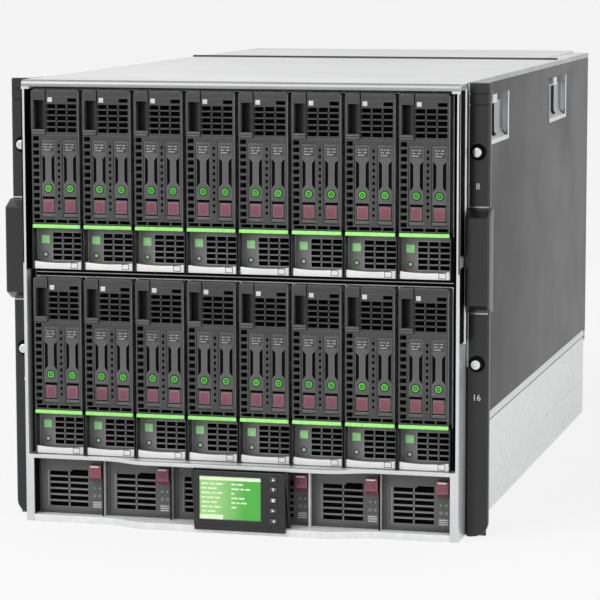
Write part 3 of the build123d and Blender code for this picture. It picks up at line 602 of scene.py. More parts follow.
    def mesh(self) -> Mesh:
        """Close the form.

        Returns:
            A mesh in metres on the sub-assembly's own axes, with its materials.
        """
        made = bpy.data.meshes.new("form")
        self.shapes.to_mesh(made)
        self.shapes.free()
        made.transform(Matrix.Diagonal((MM, MM, MM, 1.0)))
        for finish in self.finishes:
            made.materials.append(finish.material())
        made.shade_smooth()
        made.set_sharp_from_angle(angle=SMOOTH_ANGLE)
        return made


class Pattern:
    """A geometry-node tree for shapes that repeat, with named inputs."""

    def __init__(self, name: str, **inputs: Sequence[str]) -> None:
        """Make the tree and its inputs, with a place and a material for every pattern.

        Args:
            name: The tree's name.
            **inputs: Kind of socket to the names of the inputs of that kind.
        """
        self.tree = bpy.data.node_groups.new(name, "GeometryNodeTree")
        self.names: dict[str, str] = {}
        for kind, labels in {**inputs, "Vector": ["Middle"], "Material": ["Material"]}.items():
            for label in labels:
                socket = self.tree.interface.new_socket(label, in_out="INPUT",
                                                        socket_type=f"NodeSocket{kind}")
                self.names[label] = socket.identifier
        self.tree.interface.new_socket("Geometry", in_out="OUTPUT", socket_type="NodeSocketGeometry")
        self.given = add_node(self.tree, "NodeGroupInput").node.outputs

    def vector(self, **parts: Any) -> Socket:
        """A vector from the parts that aren't nought."""
        return add_node(self.tree, "ShaderNodeCombineXYZ", parts)

    def close(self, shape: Socket, turn: Any = (0.0, 0.0, 0.0)) -> None:
        """End the tree: turn and place the shapes, make them real faces and set the material.

        Args:
            shape: What the tree has made.
            turn: How it is turned, as angles or a socket.
        """
        moved = add_node(self.tree, "GeometryNodeTransform",
                         {"Geometry": shape, "Rotation": turn, "Translation": self.given["Middle"]})
        real = add_node(self.tree, "GeometryNodeRealizeInstances", {"Geometry": moved})
        dressed = add_node(self.tree, "GeometryNodeSetMaterial",
                           {"Geometry": real, "Material": self.given["Material"]})
        add_node(self.tree, "NodeGroupOutput", {0: dressed})

    def put(self, form: Form, finish: Finish, **values: Any) -> None:
        """Evaluate the tree once and add its shapes to a form.

        Args:
            form: What takes the shapes.
            finish: What they are made of.
            **values: Inputs by name, in millimetres.
        """
        holder = show("holder", bpy.data.meshes.new("holder"))
        modifier = holder.modifiers.new("pattern", "NODES")
        modifier.node_group = self.tree
        modifier[self.names["Material"]] = finish.material()
        for label, value in values.items():
            modifier[self.names[label]] = value
        form.take(plain_mesh(holder), finish)


class Slats(Pattern):
    """Bars that cross an opening both ways and leave equal slots."""

    def __init__(self) -> None:
        """Build the tree."""
        super().__init__("slats", Float=("Width", "Height", "Upright", "Level", "Depth"),
                         Int=("Columns", "Rows"))
        sets = [self.bars("Rows", "Level", ("Z", "Height"), ("X", "Width")),
                self.bars("Columns", "Upright", ("X", "Width"), ("Z", "Height"))]
        self.close(add_node(self.tree, "GeometryNodeJoinGeometry", {0: sets}))

    def bars(self, count: str, bar: str, across: tuple[str, str], along: tuple[str, str]) -> Socket:
        """One set of parallel bars.

        Args:
            count: Input with the number of slots.
            bar: Input with the bars' width.
            across: The axis that the bars are set along, and the input with the opening's size there.
            along: The axis that each bar runs along, and the input with the opening's size there.

        Returns:
            The instanced bars.
        """
        tree, given = self.tree, self.given
        whole = calc(tree, "ADD", given[across[1]], given[bar])
        pitch = calc(tree, "DIVIDE", whole, given[count])
        start = calc(tree, "ADD", calc(tree, "MULTIPLY", whole, -0.5), pitch)
        line = add_node(tree, "GeometryNodeMeshLine", {
            "Count": calc(tree, "SUBTRACT", given[count], 1.0),
            "Start Location": self.vector(**{across[0]: start}),
            "Offset": self.vector(**{across[0]: pitch})})
        size = self.vector(**{across[0]: given[bar], "Y": given["Depth"], along[0]: given[along[1]]})
        cube = add_node(tree, "GeometryNodeMeshCube", {"Size": size})
        return add_node(tree, "GeometryNodeInstanceOnPoints", {"Points": line, "Instance": cube})

    def fill(self, form: Form, finish: Finish, opening: Opening, slots: tuple[int, int], bars: Span,
             y: Span) -> None:
        """Fill an opening with crossing bars.

        Args:
            form: What takes the bars.
            finish: What they are made of.
            opening: Left and right, then foot and head.
            slots: How many across and how many one above the other.
            bars: Width of the upright and of the level bars.
            y: Front and back of the bars.
        """
        (x0, x1), (z0, z1) = opening
        self.put(form, finish, Width=x1 - x0, Height=z1 - z0, Columns=slots[0], Rows=slots[1],
                 Upright=bars[0], Level=bars[1], Depth=y[1] - y[0],
                 Middle=((x0 + x1) / 2.0, sum(y) / 2.0, (z0 + z1) / 2.0))


class Studs(Pattern):
    """Round studs with narrower heads, on a regular grid."""

    HEAD = 0.62

    def __init__(self) -> None:
        """Build the tree."""
        super().__init__("studs", Int=("Columns", "Rows", "Sides"),
                         Float=("Width", "Height", "Radius", "Rise"), Rotation=("Turn",))
        tree, given = self.tree, self.given
        grid = add_node(tree, "GeometryNodeMeshGrid",
                        {"Size X": given["Width"], "Size Y": given["Height"], "Vertices X": given["Columns"],
                         "Vertices Y": given["Rows"]})
        head = calc(tree, "MULTIPLY", given["Radius"], self.HEAD)
        stud = add_node(tree, "GeometryNodeMeshCone",
                        {"Vertices": given["Sides"], "Radius Top": head, "Radius Bottom": given["Radius"],
                         "Depth": given["Rise"]})
        many = add_node(tree, "GeometryNodeInstanceOnPoints", {"Points": grid, "Instance": stud})
        self.close(many, given["Turn"])


class Rotor(Pattern):
    """Pitched blades round a hub that faces backward."""

    BLADE_MM = 1.2

    def __init__(self) -> None:
        """Build the tree."""
        super().__init__("rotor", Int=("Blades",), Float=("Hub", "Tip", "Chord", "Pitch"))
        tree, given = self.tree, self.given
        span = calc(tree, "SUBTRACT", given["Tip"], given["Hub"])
        middle = calc(tree, "MULTIPLY", calc(tree, "ADD", given["Tip"], given["Hub"]), 0.5)
        points = add_node(tree, "GeometryNodeMeshCircle", {"Vertices": given["Blades"], "Radius": middle})
        cube = add_node(tree, "GeometryNodeMeshCube",
                        {"Size": self.vector(X=span, Y=given["Chord"], Z=self.BLADE_MM)})
        leant = add_node(tree, "GeometryNodeTransform",
                         {"Geometry": cube, "Rotation": self.vector(X=given["Pitch"])})
        outward = add_node(tree, "GeometryNodeInputPosition")
        turn = add_node(tree, "FunctionNodeAlignRotationToVector", {"Vector": outward}, axis="X")
        blades = add_node(tree, "GeometryNodeInstanceOnPoints",
                          {"Points": points, "Instance": leant, "Rotation": turn})
        hub = add_node(tree, "GeometryNodeMeshCylinder",
                       {"Vertices": 24, "Radius": given["Hub"], "Depth": given["Chord"]})
        self.close(add_node(tree, "GeometryNodeJoinGeometry", {0: [blades, hub]}), (QUARTER, 0.0, 0.0))


def place_piece(name: str, mesh: Mesh, place: Vector, body: str,
                nodes: Sequence[str] = ()) -> None:
    """Put a copy of a mesh where it belongs and hand it to its body.

    Args:
        name: The piece's name.
        mesh: Shape in metres on its own axes.
        place: Where those axes stand in the frame.
        body: The body that carries it.
        nodes: Solids that it stands for.
    """
    own = mesh.copy()
    own.name = name
    own.transform(Matrix.Translation(place))
    piece = show(name, own)
    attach(piece, body)
    if nodes:
        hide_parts(*nodes)
    LOG.info("%s: %d faces on %s", name, len(own.polygons), body)


def corner_of(node: str) -> tuple[Vector, Vector]:
    """Lowest corner of a node in metres, and its size in millimetres."""
    low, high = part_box(node)
    return low, (high - low) / MM


# The front plane, where the axes of what is fixed to the enclosure start, and the enclosure's height.
FRONT = Vector((0.0, corner_of("server_blade_01")[0].y, 0.0))
HEIGHT = corner_of("front_frame")[1].z


class Assembly:
    """A sub-assembly, which draws its pieces one at a time into a form."""

    form: Form

    def piece(self, draw: Callable[..., None], *given: Any) -> Mesh:
        """Draw one piece in a fresh form.

        Args:
            draw: The method that draws it.
            *given: What that method takes.

        Returns:
            The piece's mesh in metres.
        """
        self.form = Form()
        draw(*given)
        return self.form.mesh()

    def fix(self, name: str, draw: Callable[[], None], slot: str) -> None:
        """Draw a piece and fix it to the enclosure."""
        place_piece(name, self.piece(draw), FRONT, "chassis")


@dataclass
class Blade(Assembly):
    """One half-height server blade, on axes at the middle of its front foot."""

    slats: Slats
    width: float
    height: float
    edge: float = 1.2
    wall: float = 1.0
    case: Span = (16.0, 510.0)
    face: Span = (1.4, 9.5)
    light: Span = (41.2, 45.8)
    light_depth: float = 3.0
    drive: Span = (52.3, 129.9)
    drive_width: float = 15.0
    drive_middles: tuple[float, float] = (-8.1, 14.5)
    drive_front: float = 2.4
    drive_back: float = 40.0
    relief: float = 1.8
    head: float = 14.3
    neck: float = 26.0
    neck_width: float = 6.2
    shield: float = 16.4
    ring_drop: float = 8.4
    ring_radii: tuple[float, ...] = (1.1, 1.9, 3.5, 4.3)
    drive_buttons: tuple[tuple[float, float, Span, Finish, float], ...] = (
        (5.8, 0.2, (4.9, 18.1), PALE_GRAPHITE_AND_HIGHLIGHT_ABS, 0.3), (4.9, -0.4, (5.8, 17.2), TOUCH_ABS, 0.7),
        (6.7, 0.0, (0.6, 3.8), PALE_GRAPHITE_AND_HIGHLIGHT_ABS, 0.3))
    label: tuple[tuple[float, float, float], ...] = (
        (-4.6, -2.2, -5.4), (-1.2, 0.4, -5.4), (1.6, 4.4, -5.4), (-4.6, -1.0, -8.2), (0.8, 4.4, -8.2),
        (-4.6, 2.2, -10.8))
    grille: Span = (-9.2, 22.2)
    upper_grille: Span = (137.1, 164.9)
    lower_grille: Span = (8.4, 35.9)
    extra_slot: Opening = ((12.6, 22.2), (167.0, 170.8))
    ladder: Opening = ((-23.6, -17.2), (50.9, 133.0))
    small_ladder: Opening = ((2.0, 4.5), (59.9, 125.3))
    split: float = 134.6
    crown: float = 172.4
    tab: Opening = ((-22.3, -10.4), (139.9, 168.8))
    tab_lip: float = 5.2
    tab_gap: float = 0.9
    tab_light: Opening = ((-7.7, -3.1), (167.0, 171.4))
    corner: float = 2.6
    rounding: float = 0.55
    slat_depth: float = 3.0
    lamp: Opening = ((-20.8, -12.4), (25.0, 33.2))
    lamp_rise: float = 0.7
    button: Point = (-16.6, 13.7)
    button_radius: float = 1.6
    button_rim: Span = (2.2, 3.1)
    panel: float = 2.5
    shade_backing: Span = (8.0, 9.0)
    cheek_front: float = 3.0
    board: tuple[Span, float] = ((110.0, 510.0), 10.0)
    plug: tuple[float, float, float] = (20.0, 12.0, 45.0)

    def inner(self) -> tuple[float, float]:
        """Half the bezel's width, and its top."""
        return self.width / 2.0 - self.edge, self.height - 0.3

    def bays(self) -> list[Opening]:
        """Openings of the drive bays."""
        height = (self.drive[0] - 0.3, self.drive[1] + 0.3)
        return [(about(x, self.drive_width / 2.0 + 0.3), height) for x in self.drive_middles]

    def bezel(self) -> None:
        """Moulded bezel with its grilles, ladders and pull tab."""
        form, (half, top) = self.form, self.inner()
        (front, back), panel, foot = self.face, self.case[0], self.light[1]
        shoulder = top - self.corner
        vents = (about(0.0, half - 1.8), (foot + 1.1, foot + 4.4))
        upper = (self.grille, self.upper_grille)
        left = self.tab[0][1] + self.tab_gap
        form.plate(about(0.0, half), self.face, (foot, self.split),
                   [*self.bays(), self.ladder, self.small_ladder, vents], BEZEL_ABS, self.rounding)
        form.plate((left, half), self.face, (self.split, self.crown), [upper, self.extra_slot], BEZEL_ABS,
                   self.rounding)
        turn = round_corner(half - self.corner, shoulder, self.corner, 0.0)
        form.prism([(left, self.crown), (half, self.crown), *turn, (left, top)], Axis.Y, self.face,
                   BEZEL_ABS, 0.5)
        for opening, slots, bars in ((upper, (3, 5), (1.2, 1.5)), (self.ladder, (1, 12), (1.0, 2.6)),
                                     (self.small_ladder, (1, 11), (1.0, 3.4)), (vents, (4, 1), (1.6, 1.0))):
            self.fill(BEZEL_ABS, opening, slots, bars, front)
        # A black plate behind the bezel's openings: painted shade for its dark inside.
        form.block(about(0.0, half - 1.0), (panel - 2.0, panel - 1.0), (foot, top - 1.0), BLACK_AND_SHADE_ABS)
        form.pair((half - 1.6, half), (back, panel), (self.light[0], shoulder), BEZEL_ABS)
        form.block(about(0.0, half - 1.6), (back, panel), (top - 2.2, top - 0.6), BEZEL_ABS)
        form.block(about(0.0, half), (self.light_depth, panel), self.light, BLACK_AND_SHADE_ABS)
        # A paler strip down the right edge: painted highlight.
        form.block((half - 0.9, half - 0.1), about(front, 0.4), (foot + 5.2, shoulder), PALE_GRAPHITE_AND_HIGHLIGHT_ABS, 0.25)
        self.pull_tab(half, top)

    def fill(self, finish: Finish, opening: Opening, slots: tuple[int, int], bars: Span,
             front: float) -> None:
        """Fill an opening with bars just behind a face."""
        y = (front + 0.2, front + 0.2 + self.slat_depth)
        self.slats.fill(self.form, finish, opening, slots, bars, y)

    def pull_tab(self, half: float, top: float) -> None:
        """Raised frame of the pull tab round a finger hollow that slopes out to the right.

        Args:
            half: Half the bezel's width.
            top: The bezel's top.
        """
        form, (front, back) = self.form, self.face
        (x0, x1), (z0, z1) = self.tab
        lip = z0 - self.tab_lip
        turn = round_corner(self.corner - half, top - self.corner, self.corner, 1.0)
        form.prism([(-half, z1), (x1, z1), (x1, top), *turn], Axis.Y, (0.0, back), BEZEL_ABS, 0.6)
        form.block((-half, x0), (0.0, back), (z0, z1), BEZEL_ABS, self.rounding)
        form.block((-half, x1), (0.5, back), (lip, z0), BEZEL_ABS, 0.6)
        # Two ridges on the tab's lip in the paler grey: painted highlight on them.
        for z in (lip + 1.0, z0 - 1.8):
            form.block((1.2 - half, x1 - 1.0), (0.0, 0.8), (z, z + 0.9), PALE_GRAPHITE_AND_HIGHLIGHT_ABS, 0.3)
        # The finger hollow in near-black plastic: painted shade in the recess.
        hollow = [(x0, back - 0.8), (x1 - 3.0, front + 2.4), (x1, front + 1.2), (x1, back), (x0, back)]
        form.prism(hollow, Axis.Z, (z0, z1), SATIN_BLACK_AND_SHADE_ABS)

    def lights(self) -> None:
        """Light bar, drive rings, square lamp, power lamp and the pale window beside the tab."""
        form, front, (low, high) = self.form, self.drive_front, self.light
        form.block(about(0.0, self.inner()[0] - 0.2), (0.4, self.light_depth), (low + 0.5, high - 0.5),
                   BAR_LENS, 0.6)
        ring_z = self.drive[1] - self.head - self.neck - self.ring_drop
        dot, inner, outer, rim = self.ring_radii
        for x in self.drive_middles:
            form.rod((x, ring_z), Axis.Y, rim, about(front, 0.2), BLACK_AND_SHADE_ABS)
            form.ring((x, ring_z), (inner, outer), (front - 0.4, front), RING_LENS)
            form.rod((x, ring_z), Axis.Y, dot, (front - 0.35, front), RING_LENS, 0.0, 12)
        raised = (self.case[0] - self.lamp_rise, self.case[0])
        form.block(self.lamp[0], raised, self.lamp[1], SQUARE_LENS, 0.4)
        form.rod(self.button, Axis.Y, self.button_radius, raised, SQUARE_LENS, 0.3, 16)
        form.block(self.tab_light[0], about(self.face[0], 0.4), self.tab_light[1], LABEL_CARD, 0.4)

    def drives(self) -> None:
        """Two drive carriers with their plain labels and release buttons."""
        form, (foot, head), front = self.form, self.drive, self.drive_front
        half, neck = self.drive_width / 2.0, self.neck_width / 2.0
        back = front + self.relief
        low = head - self.head
        end = low - self.neck
        outline = [(half, head), (half, low), (neck, low - half + neck), (neck, end),
                   (half - 0.8, end - half + neck), (half - 0.8, end - self.shield)]
        for x in self.drive_middles:
            # A black block behind each carrier: painted shade seen through the slots beside its neck.
            form.block(about(x, half), (back, self.drive_back), self.drive, BLACK_AND_SHADE_ABS, 0.2)
            for rail in about(x, half - 0.5):
                form.block(about(rail, 0.5), (front + 0.4, back + 0.2), (foot, low + 1.0), PALE_GRAPHITE_AND_HIGHLIGHT_ABS, 0.15)
            around = [(x + u, v) for u, v in outline] + [(x - u, v) for u, v in reversed(outline)]
            form.prism(around, Axis.Y, (front, back + 0.2), PALE_GRAPHITE_AND_HIGHLIGHT_ABS, 0.4)
            form.block(about(x, half - 1.6), about(front, 0.2), (low + 2.4, head - 2.0), BEZEL_ABS, 0.15)
            for left, right, z in self.label:
                form.block((x + left, x + right), (front - 0.3, front - 0.1), (head + z, head + z + 1.1),
                           FAINT_INK)
            for reach, start, rise, finish, bevel in self.drive_buttons:
                form.block(about(x, reach), (front + start, back + 0.2), shift(rise, foot), finish, bevel)

    def lower_panel(self) -> None:
        """Set-back grille panel behind the lever, with the cheeks beside it."""
        form, half, front, top = self.form, self.width / 2.0, self.case[0], self.light[0]
        inner = half - self.wall
        opening = (self.grille, self.lower_grille)
        # The panel and its grille bars in the paler grey: painted light from below.
        form.plate(about(0.0, inner), (front, front + self.panel), (self.wall, top), [opening], PALE_GREY_AND_LIGHT_ABS,
                   self.rounding)
        self.fill(PALE_GREY_AND_LIGHT_ABS, opening, (3, 5), (1.2, 1.4), front)
        form.ring(self.button, self.button_rim, (front - 0.3, front + 0.2), BEZEL_ABS)
        # A black plate behind the grille: painted shade.
        form.block(about(0.0, inner), shift(self.shade_backing, front), (self.wall, top), BLACK_AND_SHADE_ABS)
        # The cheeks in near-black plastic: painted shade in the gaps between blades.
        form.pair((inner, half), (self.cheek_front, front), (0.0, top), SATIN_BLACK_AND_SHADE_ABS, 0.25)

    def sheet_case(self) -> None:
        """Folded sheet case with its board and midplane plug."""
        form, back, left = self.form, self.case[1], self.wall - self.width / 2.0
        form.sleeve(self.width, self.height, self.wall, self.case)
        length, margin = self.board
        width, depth, height = self.plug
        form.block((left, left + 1.6), length, (margin, self.height - margin), BOARD_LAMINATE, SHEET_EDGE)
        form.block((left + 1.6, left + 1.6 + width), about(back, depth), about(self.height / 2.0, height),
                   NYLON, 0.6)

    @classmethod
    def build(cls, slats: Slats) -> None:
        """Build the blade and its lever once and hand a copy to each body.

        Args:
            slats: The pattern of its grilles.
        """
        size = corner_of("server_blade_01")[1]
        blade, lever = cls(slats, size.x, size.z), Lever(size.x)
        shapes = [("bezel", blade.bezel, "blade"), ("drives", blade.drives, "blade"),
                  ("lights", blade.lights, "blade"), ("lower_panel", blade.lower_panel, "blade"),
                  ("case", blade.sheet_case, "bare_steel")]
        meshes = [(kind, blade.piece(draw), slot) for kind, draw, slot in shapes]
        bar = lever.piece(lever.bar)
        for number in (f"{index:02d}" for index in range(1, 17)):
            node = f"server_blade_{number}"
            low, size = corner_of(node)
            place = low + Vector((size.x * MM / 2.0, 0.0, 0.0))
            for kind, mesh, slot in meshes:
                place_piece(f"blade_{number}_{kind}", mesh, place, f"blade_{number}", [node])
            place_piece(f"lever_{number}_bar", bar, place, f"lever_{number}",
                        [f"blade_lever_{number}"])


@dataclass
class Lever(Assembly):
    """Ejector lever at a blade's foot, on the blade's axes."""

    width: float
    depth: Span = (4.0, 7.5)
    foot: float = 0.6
    top: float = 8.2
    scoop: float = 1.7
    fullness: float = 0.7
    gap: float = 1.5
    tang_height: float = 3.5
    tang: float = 0.9
    button: Span = (4.0, 10.5)
    steps: int = 12

    def bar(self) -> None:
        """Cast bar with a curved finger scoop, a release button and turned pivots."""
        form, (front, back), foot = self.form, self.depth, self.foot
        half, dip = self.width / 2.0 - self.gap, self.top - self.scoop
        shares = [i / self.steps for i in range(self.steps + 1)]
        curve = [(half - 2.0 * half * s, self.top - self.scoop * math.sin(math.pi * s) ** self.fullness)
                 for s in shares]
        form.prism([(-half, foot), (half, foot), *curve], Axis.Y, (front + 0.5, back), LEVER_ZINC, 0.6)
        near, far = half - self.button[1], half - self.button[0]
        # A black frame just behind the button's edges: painted shadow in the gap round it.
        form.block((near - 0.5, far + 0.5), (front + 0.4, front + 0.7), (foot + 0.9, dip + 0.7), BLACK_AND_SHADE_ABS)
        form.block((near, far), (front, front + 1.0), (foot + 1.4, dip + 0.2), LEVER_ZINC, 0.45)
        form.rod(((front + back) / 2.0, self.tang_height), Axis.X, self.tang, about(0.0, self.width / 2.0),
                 SCREW_STEEL, 0.0, 16)


@dataclass
class PowerSupply(Assembly):
    """One power supply, on axes at the middle of its front foot."""

    slats: Slats
    width: float
    depth: float
    height: float
    face: float = 3.0
    plate_front: float = 1.2
    slat_depth: Span = (1.3, 3.3)
    shade_backing: Span = (12.0, 13.0)
    wall: float = 1.0
    grille_left: float = 11.1
    grille_width: float = 40.5
    grille: Span = (6.8, 42.5)
    arch: float = 2.0
    window: Opening = ((14.0, 3.0), (38.0, 47.5))
    rim: float = 2.0
    cheeks: tuple[float, float] = (4.2, 1.0)
    mark_inset: float = 10.0
    mark_pitch: float = 5.4
    lamp_z: float = 26.5
    lamp_radius: float = 1.0
    sign_z: float = 18.6
    sign_radii: Span = (0.9, 1.6)
    card: Opening = ((-2.4, 7.6), (6.0, 13.0))
    card_lines: tuple[float, ...] = (7.0, 9.2, 11.4)

    def front(self) -> None:
        """Moulded face with a raised frame, ribbed slots, lamps and plain marks."""
        form, half, rim, top = self.form, self.width / 2.0, self.rim, self.height
        left, head = self.grille_left - half, self.grille[1]
        right = left + self.grille_width
        opening = ((left, right), self.grille)
        arch = ((left + self.grille_width / 2.0 + 3.0, right), (head, head + self.arch))
        window = ((half - self.window[0][0], half - self.window[0][1]), self.window[1])
        across, between = about(0.0, half), (rim, top - rim)
        form.plate(across, (self.plate_front, self.face), (0.0, top), [opening, arch, window], PALE_GRAPHITE_AND_HIGHLIGHT_ABS,
                   0.3)
        # A frame of the darker plastic round the face, widest at the left, where it is painted shade on the
        # face's left side.
        for x, z in ((across, (top - rim, top)), (across, (0.0, rim)),
                     ((-half, self.cheeks[0] - half), between), ((half - self.cheeks[1], half), between)):
            form.block(x, (0.0, self.face), z, BEZEL_ABS, 0.5)
        # A pale strip at the grille's left side, and the grille's bars in the paler grey: painted highlight
        # and painted light.
        form.block((left - 2.2, left - 1.0), (0.5, 1.4), self.grille, PALE_GREY_AND_LIGHT_ABS, 0.3)
        self.slats.fill(form, PALE_GREY_AND_LIGHT_ABS, opening, (2, 6), (1.3, 1.7), self.slat_depth)
        # A black plate behind the grille: painted shade.
        form.block(about(0.0, half - 1.5), self.shade_backing, (1.5, top - 1.5), BLACK_AND_SHADE_ABS)
        x = half - self.mark_inset
        for mark, finish in ((x, RING_LENS), (x + self.mark_pitch, FAINT_INK)):
            form.rod((mark, self.lamp_z), Axis.Y, self.lamp_radius, (0.8, 1.4), finish, 0.1, 12)
            form.ring((mark, self.sign_z), self.sign_radii, (1.0, 1.4), FAINT_INK, 12)
        (card_left, card_right), card_z = self.card
        form.block((x + card_left, x + card_right), (1.05, 1.4), card_z, PALE_GREY_AND_LIGHT_ABS, 0.15)
        for z in self.card_lines:
            form.block((x + card_left + 0.8, x + card_right - 0.8), (0.9, 1.2), (z, z + 0.7), WHITE_INK_AND_HIGHLIGHT)

    def sheet_case(self) -> None:
        """Sheet case with a closed back."""
        wall, back = self.wall, self.depth
        self.form.sleeve(self.width, self.height, wall, (self.face, back))
        self.form.block(about(0.0, self.width / 2.0 - wall), (back - wall, back), (wall, self.height - wall),
                        ZINC_STEEL)

    @classmethod
    def build(cls, slats: Slats) -> None:
        """Build the power supply and its latch once and hand a copy to each body.

        Args:
            slats: The pattern of its grilles.
        """
        supply = cls(slats, *corner_of("power_supply_1")[1])
        latch = PowerLatch(*corner_of("power_latch_1")[1])
        meshes = [("face", supply.piece(supply.front), "supply"),
                  ("case", supply.piece(supply.sheet_case), "bare_steel")]
        tab = latch.piece(latch.tab)
        for number in range(1, 7):
            node, catch = f"power_supply_{number}", f"power_latch_{number}"
            low, size = corner_of(node)
            place = low + Vector((size.x * MM / 2.0, 0.0, 0.0))
            for kind, mesh, slot in meshes:
                place_piece(f"supply_{number}_{kind}", mesh, place, f"supply_{number}", [node])
            place_piece(f"latch_{number}_tab", tab, corner_of(catch)[0], f"latch_{number}",
                        [catch])


@dataclass
class PowerLatch(Assembly):
    """Thumb latch of a power supply, on axes at its box's lowest corner."""

    width: float
    depth: float
    height: float
    reach: float = 7.7
    stem: float = 6.0
    ridges: int = 4
    ridge_pitch: float = 2.1
    ridge_start: float = 0.46

    def tab(self) -> None:
        """Wedge with thumb ridges, a pale bar along its top as a painted highlight, and a stem behind it."""
        form, width, height, reach, stem = self.form, self.width, self.height, self.reach, self.stem
        wedge = [(reach, 0.0), (0.6, height / 3.0), (0.6, height), (reach, height)]
        form.prism(wedge, Axis.X, (0.0, width), TOUCH_ABS, 0.8)
        for index in range(self.ridges):
            z = height * self.ridge_start + self.ridge_pitch * index
            form.block((1.4, width - 1.4), (0.0, 1.2), (z, z + 0.9), TOUCH_ABS, 0.3)
        # A pale bar along the wedge's top: painted highlight.
        form.block((1.6, width - 2.0), (0.2, 1.2), (height - 2.0, height - 0.8), WHITE_INK_AND_HIGHLIGHT, 0.2)
        form.block(about(width / 2.0, stem / 2.0), (reach - 0.5, self.depth),
                   about(height / 2.0, stem / 2.0), TOUCH_ABS, 0.3)


@dataclass
class Display(Assembly):
    """Tilting display with its keys, on axes at its lowest corner."""

    width: float = 93.0
    head: float = 59.5
    thickness: float = 10.0
    body_foot: float = 5.7
    chin_back: float = 3.7
    skin: float = 3.6
    pin: tuple[float, float] = (3.2, 56.3)
    screen: Opening = ((5.7, 68.3), (11.3, 54.2))
    title: float = 3.8
    foot_line: tuple[float, float] = (24.0, 4.6)
    keys: tuple[str, ...] = ("up", "down", "ok", "right", "left")
    key_size: tuple[float, float] = (8.0, 5.0)
    key_x: float = 81.5
    key_top: float = 54.0
    key_pitch: float = 10.4
    sign: float = 1.6
    lines: tuple[tuple[float, ...], ...] = (
        (7.0, 4.5, 8.0), (5.5, 9.0), (9.5, 3.5, 6.0), (4.0, 7.5, 5.0), (8.5, 6.0), (6.0, 4.0, 7.0),
        (5.0, 8.0))
    values: tuple[tuple[float, ...], ...] = (
        (4.5, 6.0), (8.0, 3.5, 5.0), (3.0,), (6.5, 5.5), (4.0, 3.0, 6.0), (5.0,))
    value_share: float = 0.52
    first_line: float = 8.2
    line_pitch: float = 4.6
    word_gap: float = 1.3
    letter: float = 1.5

    def panel(self, left: float) -> None:
        """Moulded frame with hinge pins and the lit screen.

        Args:
            left: Left side of the frame from the node's left side.
        """
        form, sides, body = self.form, (left, left + self.width), (self.body_foot, self.head)
        screen = (shift(self.screen[0], left), self.screen[1])
        reach_x, reach_z = (side / 2.0 + 0.3 for side in self.key_size)
        key_z = [self.key_top - index * self.key_pitch for index in range(len(self.keys))]
        holes = [screen, *((about(left + self.key_x, reach_x), about(z, reach_z)) for z in key_z)]
        form.plate(sides, (0.0, self.skin), body, holes, SATIN_BLACK_AND_SHADE_ABS, 0.5)
        chin = [(0.2, self.body_foot), (1.3, 0.0), (self.chin_back, 0.0), (self.chin_back, self.body_foot)]
        form.prism(chin, Axis.X, sides, SATIN_BLACK_AND_SHADE_ABS, 0.4)
        form.block(sides, (self.skin, self.thickness), body, SATIN_BLACK_AND_SHADE_ABS, 0.4)
        form.rod(self.pin, Axis.X, 1.0, (0.0, self.width + 2.0 * left), SCREW_STEEL, 0.0, 16)
        form.block(screen[0], (1.2, self.skin + 0.2), screen[1], SCREEN_LCD)
        self.writing(screen)

    def writing(self, screen: Opening) -> None:
        """Bars that stand for lines of readings on the screen, with a title and a foot line.

        Args:
            screen: Left and right, then foot and head.
        """
        (x0, x1), (z0, z1) = screen
        front = (1.05, 1.25)
        self.form.block((x0, x1), front, (z1 - self.title, z1), SCREEN_PALE)
        self.form.block((x0, x0 + self.foot_line[0]), front, (z0, z0 + self.foot_line[1]), SCREEN_PALE)
        for first, rows in ((x0 + 2.0, self.lines), (x0 + (x1 - x0) * self.value_share, self.values)):
            for index, words in enumerate(rows):
                x, z = first, z1 - self.first_line - self.line_pitch * index
                for word in words:
                    self.form.block((x, x + word), front, (z, z + self.letter), SCREEN_PALE)
                    x += word + self.word_gap

    def key(self, name: str, depth: float) -> None:
        """One key cap with its sign.

        Args:
            name: Which key it is.
            depth: The key's depth, front to back.
        """
        width, height = self.key_size
        self.form.block((0.0, width), (0.2, depth), (0.0, height), BEZEL_ABS, 0.6)
        signs = {"up": ((-1, -1), (1, -1), (0, 1)), "down": ((-1, 1), (0, -1), (1, 1)),
                 "ok": ((-1, -1), (1, -1), (1, 1), (-1, 1)), "right": ((-1, -1), (1, 0), (-1, 1)),
                 "left": ((1, -1), (1, 1), (-1, 0))}
        outline = [(width / 2.0 + u * self.sign, height / 2.0 + v * self.sign) for u, v in signs[name]]
        self.form.prism(outline, Axis.Y, (0.0, 0.4), WHITE_INK_AND_HIGHLIGHT)

    def build(self) -> None:
        """Build the display and its keys."""
        low, size = corner_of("display_panel")
        frame_mesh = self.piece(self.panel, (size.x - self.width) / 2.0)
        place_piece("display_frame_and_screen", frame_mesh, low, "display",
                    ["display_panel"])
        for name in self.keys:
            node = f"display_key_{name}"
            low, size = corner_of(node)
            cap = self.piece(self.key, name, size.y)
            place_piece(f"key_{name}_cap", cap, low, f"key_{name}", [node])


